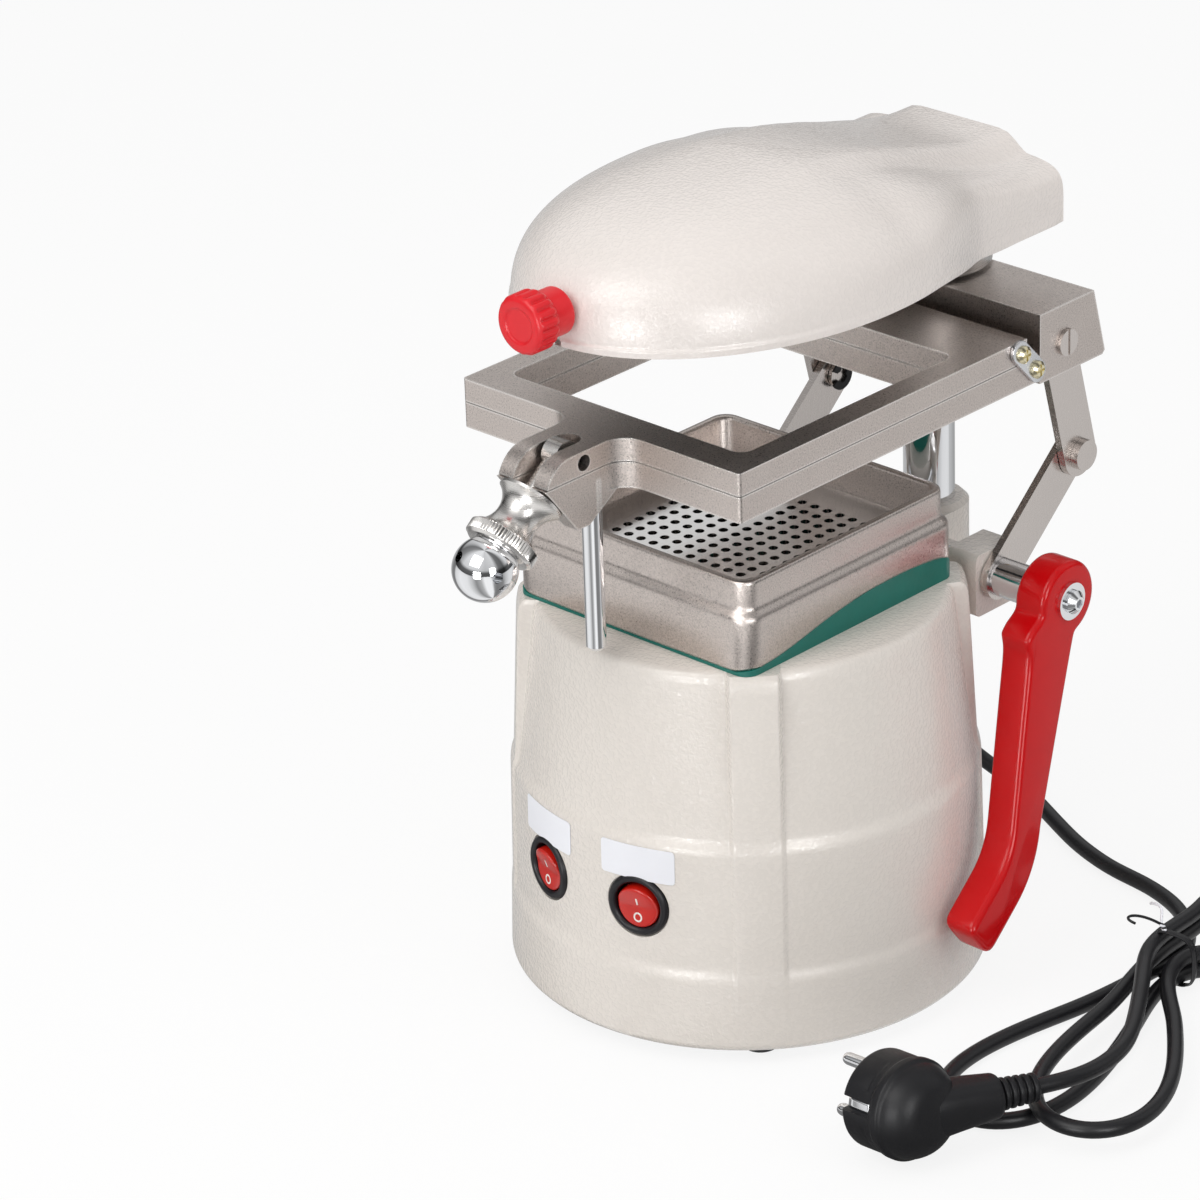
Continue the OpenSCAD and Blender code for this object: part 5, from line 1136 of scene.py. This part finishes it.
# Tray casting and the silicone gasket under it, whose sides arch up except at the front
traySettings = {
    "centre": (0, -3), "floor": 156, "skirt": 117, "corner": 8.5, "points": (40, 10),
    "arch": [(0, 2.4), (0.1, 2.6), (0.2, 4.2), (0.37, 8.4), (0.56, 11.4), (0.75, 11.7), (0.9, 10.4), (1, 8.6)],
    "front": [(0, 2.6), (0.06, 1.5), (0.5, 1.1), (0.94, 1.5), (1, 2.6)], "rear": (5, 6, 0.8),
    "walls": [
        (92, 4, 0.0), (116, 8, 0.0), (117, 8.5, 1.0), (117, 8.5, 20.4), (116.8, 8.4, 21.6), (116.2, 8.2, 22.5),
        (115, 7.9, 23.4), (113.8, 7.6, 24.0), (112.6, 7.2, 24.8), (112.1, 7.0, 25.8), (112, 7, 27.2), (112, 7, 34.6),
        (111.6, 6.8, 35.5), (110.6, 6.4, 36), (106.6, 5.4, 36), (105.5, 5, 35.6), (105, 5, 34.6), (104.6, 5, 25.6),
        (103, 4.8, 24.4), (103, 4.8, 20.5), (92, 4, 20.5), (92, 4, 17),
    ],
    "arched": 3, "gasket": ((116, 6, 0), (116, 6, 1), (92, 4, 1), (92, 4, 0)), "gap": 0.02,
}


# Rounded square with the same number of points for every size: four straights and four corner arcs
def squareRing(side, corner):
    h = side / 2
    straight, arc = traySettings["points"]
    out = []
    for k in range(4):
        a = k * math.pi / 2
        u, n = np.array([math.cos(a), math.sin(a)]), np.array([math.sin(a), -math.cos(a)])
        run = np.linspace(-(h - corner), h - corner, straight)[:, None]
        out.append(run * u + n * h)
        turn = np.linspace(0, math.pi / 2, arc + 2)[1:-1][:, None]
        out.append(u * (h - corner) + n * (h - corner) + corner * (np.cos(turn) * n + np.sin(turn) * u))
    return np.vstack(out) + np.array(traySettings["centre"])


# Height of the joint between skirt and gasket over the body's top, along the four sides
def jointLine(ring):
    s = traySettings
    h = s["skirt"] / 2
    x, y = (ring - np.array(s["centre"])).T
    arch, front = np.array(s["arch"]), np.array(s["front"])
    sides = np.interp((y + h) / (2 * h), arch[:, 0], arch[:, 1])
    across = (x + h) / (2 * h)
    faceOn = np.interp(across, front[:, 0], front[:, 1])
    low, rise, power = s["rear"]
    back = low + rise * np.sin(np.clip(across, 0, 1) * math.pi) ** power
    frontShare = smooth(-y, h - 8, h - 2)
    backShare = smooth(y, h - 8, h - 2)
    return sides * (1 - frontShare - backShare) + faceOn * frontShare + back * backShare


# Rings of the casting, whose first ones follow the joint, and of the gasket between the body's top and the joint
def makeTray():
    s = traySettings
    line = soften(jointLine(squareRing(s["skirt"], s["corner"]))[:, None], 2.0, True)[:, 0]
    rings = []
    for k, (side, corner, z) in enumerate(s["walls"]):
        rings.append(np.c_[squareRing(side, corner), s["floor"] + z + line * (k < s["arched"])])
    shape = np.array(rings), gridFaces(len(rings), len(line), True, True)
    makePiece("tray_casting", shape, "base", "satin_nickel", ("forming_tray",), sharp=75)
    rings = []
    for side, corner, high in s["gasket"]:
        rings.append(np.c_[squareRing(side, corner), s["floor"] + s["gap"] + high * (line - 2 * s["gap"])])
    shape = np.array(rings), gridFaces(len(rings), len(line), True, True)
    makePiece("tray_gasket", shape, "base", "teal_silicone", ("gasket",), sharp=30)


makeTray()

# Knurled ring nut on the swing bolt
ringSettings = {"start": 35.6, "radius": 13.7, "thick": 6.4, "teeth": 64, "deep": 0.5, "angle": 38, "bore": 4.3}


def makeRing():
    s = ringSettings
    r, t, bore = s["radius"], s["thick"], s["bore"]
    outline = [(bore, 0), (r - 1.6, 0), (r - 0.5, 0.9), (r, 1.2)]
    outline += [(radius, t - z) for radius, z in outline[::-1]]
    profile = fillet(outline, [0, 0.3, 0.15, 0.1, 0.1, 0.15, 0.3, 0], 2)

    # Triangular teeth on the outermost rim
    def knurl(turn, radius, z):
        tooth = np.abs(((turn * s["teeth"] / (2 * math.pi)) % 1) * 2 - 1)
        return -s["deep"] * tooth * (radius > r - 0.3)

    a = math.radians(s["angle"])
    out = np.array([0, -math.cos(a), -math.sin(a)])
    at = np.array(pinSettings["centre"]) + out * s["start"]
    shape = moved(lathe(profile, s["teeth"] * 6, wave=knurl), at, (1, 0, 0), np.cross(out, [1, 0, 0]), out)
    return makePiece("knurled_ring", shape, "clamp_nut", "knurled_steel", ("clamp_ring",), "turned_steel", sharp=28)


makeRing()

# Hinge plates: slim pill shaped links on both sides of the frames
hingeSettings = {
    "pin": (79.55, 239.8), "foot": (87.55, 231.3), "wide": 8.8, "from": 68.15, "to": 69.8, "past": 1.6, "rim": 0.25,
}


def makeHinges():
    s = hingeSettings
    a, b = np.array(s["pin"]), np.array(s["foot"])
    u = unit(b - a)
    n = np.array([-u[1], u[0]])
    line = []
    for end, start, past in ((a, 90, -s["past"]), (b, -90, s["past"])):
        for t in np.radians(start + np.linspace(0, 180, 25)):
            line.append(end + s["wide"] / 2 * (math.cos(t) * u + math.sin(t) * n) + u * past)
    verts, faces = roundedPlate(np.array(line), s["from"], s["to"], s["rim"], 3)
    for side, name, replaced in ((1, "hinge_plate_right", ("hinge_plates",)), (-1, "hinge_plate_left", ())):
        plate = np.stack([verts[..., 2] * side, verts[..., 0], verts[..., 1]], -1)
        makePiece(name, (plate, faces), "carriage", "zinc_steel", replaced)


makeHinges()

# Turned rubber feet with a rounded tread
footSettings = {
    "ring": 75, "profile": [(0, 0), (6.6, 0), (8.2, 2.2), (8.2, 7.2), (0, 7.2)], "radii": [0, 1.2, 0.8, 0.5, 0],
}


def makeFeet():
    s = footSettings
    foot = lathe(fillet(s["profile"], s["radii"], 4), 48)
    for k, angle in enumerate(bodySettings["angles"]):
        replaced = () if k else ("rubber_feet",)
        makePiece(f"foot_{k + 1}", moved(foot, s["ring"] * heading(angle)), "base", "black_rubber", replaced, weld=True)


makeFeet()
print("handle, knob, marks and plates made")

# CAD nodes that stay: small rounded edges and their finishes


# Geometry nodes that shade smooth and keep the edges sharp which turn by more than the angle
def smoothGroup(degrees):
    tree = bpy.data.node_groups.new("smooth_by_angle", "GeometryNodeTree")
    for way in ("INPUT", "OUTPUT"):
        tree.interface.new_socket("Geometry", in_out=way, socket_type="NodeSocketGeometry")
    g = Graph(tree)
    faces = g.add("GeometryNodeSetShadeSmooth", {"Geometry": g.add("NodeGroupInput")})
    angle = g.add("GeometryNodeInputMeshEdgeAngle", output="Unsigned Angle")
    flat = g.add("FunctionNodeCompare", {"A": angle, "B": math.radians(degrees)}, "Result", operation="LESS_THAN")
    edges = g.add("GeometryNodeSetShadeSmooth", {"Geometry": faces, "Shade Smooth": flat}, domain="EDGE")
    g.add("NodeGroupOutput", {0: edges})
    return tree


# Bevel width in millimetres for each node, and the finish where it isn't that of its slot
edgeSettings = {
    "angle": 34, "segments": 3, "planar": 0.6, "width": 0.3,
    "widths": {
        "upper_frame": 0.55, "lower_frame": 0.55, "rear_yoke": 0.8, "dome_hub": 0.5, "swing_bolt": 0.4,
        "clamp_sleeve": 0.25, "clamp_ball": 0.2, "perforated_plate": 0.15, "hinge_screws": 0.15, "link_pins": 0.25,
        "front_rod": 0.4, "column": 0.4,
    },
}
ownFinish = {"heating_plate": "heater_black"}
slotOf = {}
for entry in frame["record"].get("subparts", []):
    if isinstance(entry, dict) and entry.get("node") and entry.get("material_slot"):
        slotOf[entry["node"]] = entry["material_slot"]


# Gives each node its finish, and the ones that show merged flat faces, rounded edges and smooth shading
def finishNodes():
    s = edgeSettings
    byAngle = smoothGroup(s["angle"])
    for name, obj in nodes.items():
        material = finishes.get(ownFinish.get(name) or slotOf.get(name, ""))
        if material is None:
            print("no finish for", name, slotOf.get(name))
            continue
        for slot in obj.material_slots:
            slot.material = material
        if obj.hide_render:
            continue
        planar = obj.modifiers.new("planar", "DECIMATE")
        planar.decimate_type, planar.angle_limit = "DISSOLVE", math.radians(s["planar"])
        rim = roundEdges(obj, s["widths"].get(name, s["width"]), s["segments"], s["angle"])
        rim.use_clamp_overlap = True
        rim.miter_outer = "MITER_ARC"
        obj.modifiers.new("smooth", "NODES").node_group = byAngle


finishNodes()
print("nodes finished")

# Light, floor and background; walls and table are (position, grey) stops round the whole turn
studio = {
    "world": 0.62, "shine": 0.95, "middle": (0, 0, 0.17),
    "walls": [
        (0.0, 0.95), (0.12, 0.9), (0.2, 0.3), (0.26, 0.2), (0.31, 0.7), (0.377, 0.9), (0.45, 0.8), (0.5, 0.25),
        (0.56, 0.8), (0.633, 0.9), (0.683, 0.15), (0.738, 0.2), (0.78, 0.8), (0.877, 0.7), (0.94, 0.9), (1.0, 0.95),
    ],
    "table": [
        (0.0, 0.5), (0.05, 0.85), (0.124, 0.92), (0.19, 0.7), (0.21, 0.1), (0.25, 0.12), (0.3, 0.4), (0.4, 0.5),
        (0.5, 0.3), (0.56, 0.5), (0.6, 0.8), (0.65, 0.75), (0.69, 0.5), (0.72, 0.14), (0.79, 0.08), (0.815, 0.2),
        (0.835, 1.0), (0.89, 1.0), (0.92, 0.4), (0.965, 0.16), (0.985, 0.35), (1.0, 0.5),
    ],
    "tableCentre": (0.008, -0.0869, 0), "floorHalf": 4, "floorGrey": 0.9, "floorGlow": 0.86, "floorShine": 0.85,
    "horizon": [(0.48, 0.1), (0.59, 0.14), (0.66, 0.8), (0.8, 0.9), (1.0, 1.0)],
    # Name, azimuth, elevation, distance, size, power, colour, shows in reflections, lights surfaces
    "lights": [
        ("key", 2, 44, 1.5, (0.9, 0.9), 8.2, (1, 0.99, 0.97), True, True),
        ("fill", 98, 30, 1.6, (0.9, 1.2), 3.2, (1, 0.995, 0.99), False, True),
        ("top", 60, 82, 1.5, (1.0, 1.0), 2.4, (1, 1, 1), False, True),
        ("left", -62, 22, 1.6, (0.5, 1.3), 1.6, (1, 1, 1), False, True),
        ("shine_front", 15, 2, 1.3, (0.5, 0.5), 6.0, (1, 1, 1), True, False),
        ("shine_side", 66, 13, 1.4, (0.45, 0.6), 6.0, (1, 1, 1), True, False),
    ],
}


# World: white for the camera, even light for surfaces, walls up to the horizon for reflections
def makeWorld():
    world = bpy.data.worlds.new("studio")
    scene.world = world
    world.use_nodes = True
    g = Graph(world.node_tree)
    g.tree.nodes.clear()
    direction = g.parts(g.add("ShaderNodeTexCoord", output="Generated"))
    height = g.greys(g.span(direction["Z"], 0, 1, -1, 1), studio["horizon"])
    walls = g.mix(1, g.bands(direction, studio["walls"]), height, "MULTIPLY")
    soft = g.add("ShaderNodeBackground", {"Color": (1, 1, 1), "Strength": studio["world"]})
    shine = g.add("ShaderNodeBackground", {"Color": walls, "Strength": studio["shine"]})
    white = g.add("ShaderNodeBackground", {"Color": (1, 1, 1)})
    seen = g.choose("Is Camera Ray", g.choose("Is Glossy Ray", soft, shine), white)
    g.add("ShaderNodeOutputWorld", {"Surface": seen})


# Area lights that look at the middle of the machine
def makeLights():
    middle = Vector(studio["middle"])
    for name, azimuth, elevation, distance, size, power, colour, shows, lights in studio["lights"]:
        a, e = math.radians(azimuth), math.radians(elevation)
        back = Vector((math.sin(a) * math.cos(e), -math.cos(a) * math.cos(e), math.sin(e)))
        data = bpy.data.lights.new(name, "AREA")
        data.shape = "RECTANGLE"
        data.size, data.size_y = size
        data.energy = power
        data.color = colour
        obj = bpy.data.objects.new(name, data)
        scene.collection.objects.link(obj)
        obj.location = middle + back * distance
        obj.rotation_euler = back.to_track_quat("Z", "Y").to_euler()
        obj.visible_glossy = shows
        obj.visible_diffuse = lights


# Floor: matt, lifted towards white for the camera, and a table of grey bands for reflections
def makeFloor():
    half = studio["floorHalf"]
    mesh = bpy.data.meshes.new("floor")
    mesh.from_pydata([(-half, -half, 0), (half, -half, 0), (half, half, 0), (-half, half, 0)], [], [(0, 1, 2, 3)])
    floor = bpy.data.objects.new("floor", mesh)
    scene.collection.objects.link(floor)
    material = bpy.data.materials.new("floor")
    material.use_nodes = True
    g = Graph(material.node_tree)
    g.tree.nodes.clear()
    matt = g.add("ShaderNodeBsdfDiffuse", {"Color": [studio["floorGrey"]] * 3})
    glow = g.add("ShaderNodeEmission", {"Color": (1, 1, 1)})
    coords = g.add("ShaderNodeTexCoord", output="Object")
    spot = g.add("ShaderNodeVectorMath", {0: coords, 1: studio["tableCentre"]}, operation="SUBTRACT")
    table = g.add("ShaderNodeEmission", {"Color": g.bands(g.parts(spot), studio["table"])})
    seen = g.choose("Is Camera Ray", matt, glow, studio["floorGlow"])
    g.add("ShaderNodeOutputMaterial", {"Surface": g.choose("Is Glossy Ray", seen, table, studio["floorShine"])})
    mesh.materials.append(material)


makeWorld()
makeLights()
makeFloor()
scene.view_settings.view_transform = "Standard"
print("studio made")
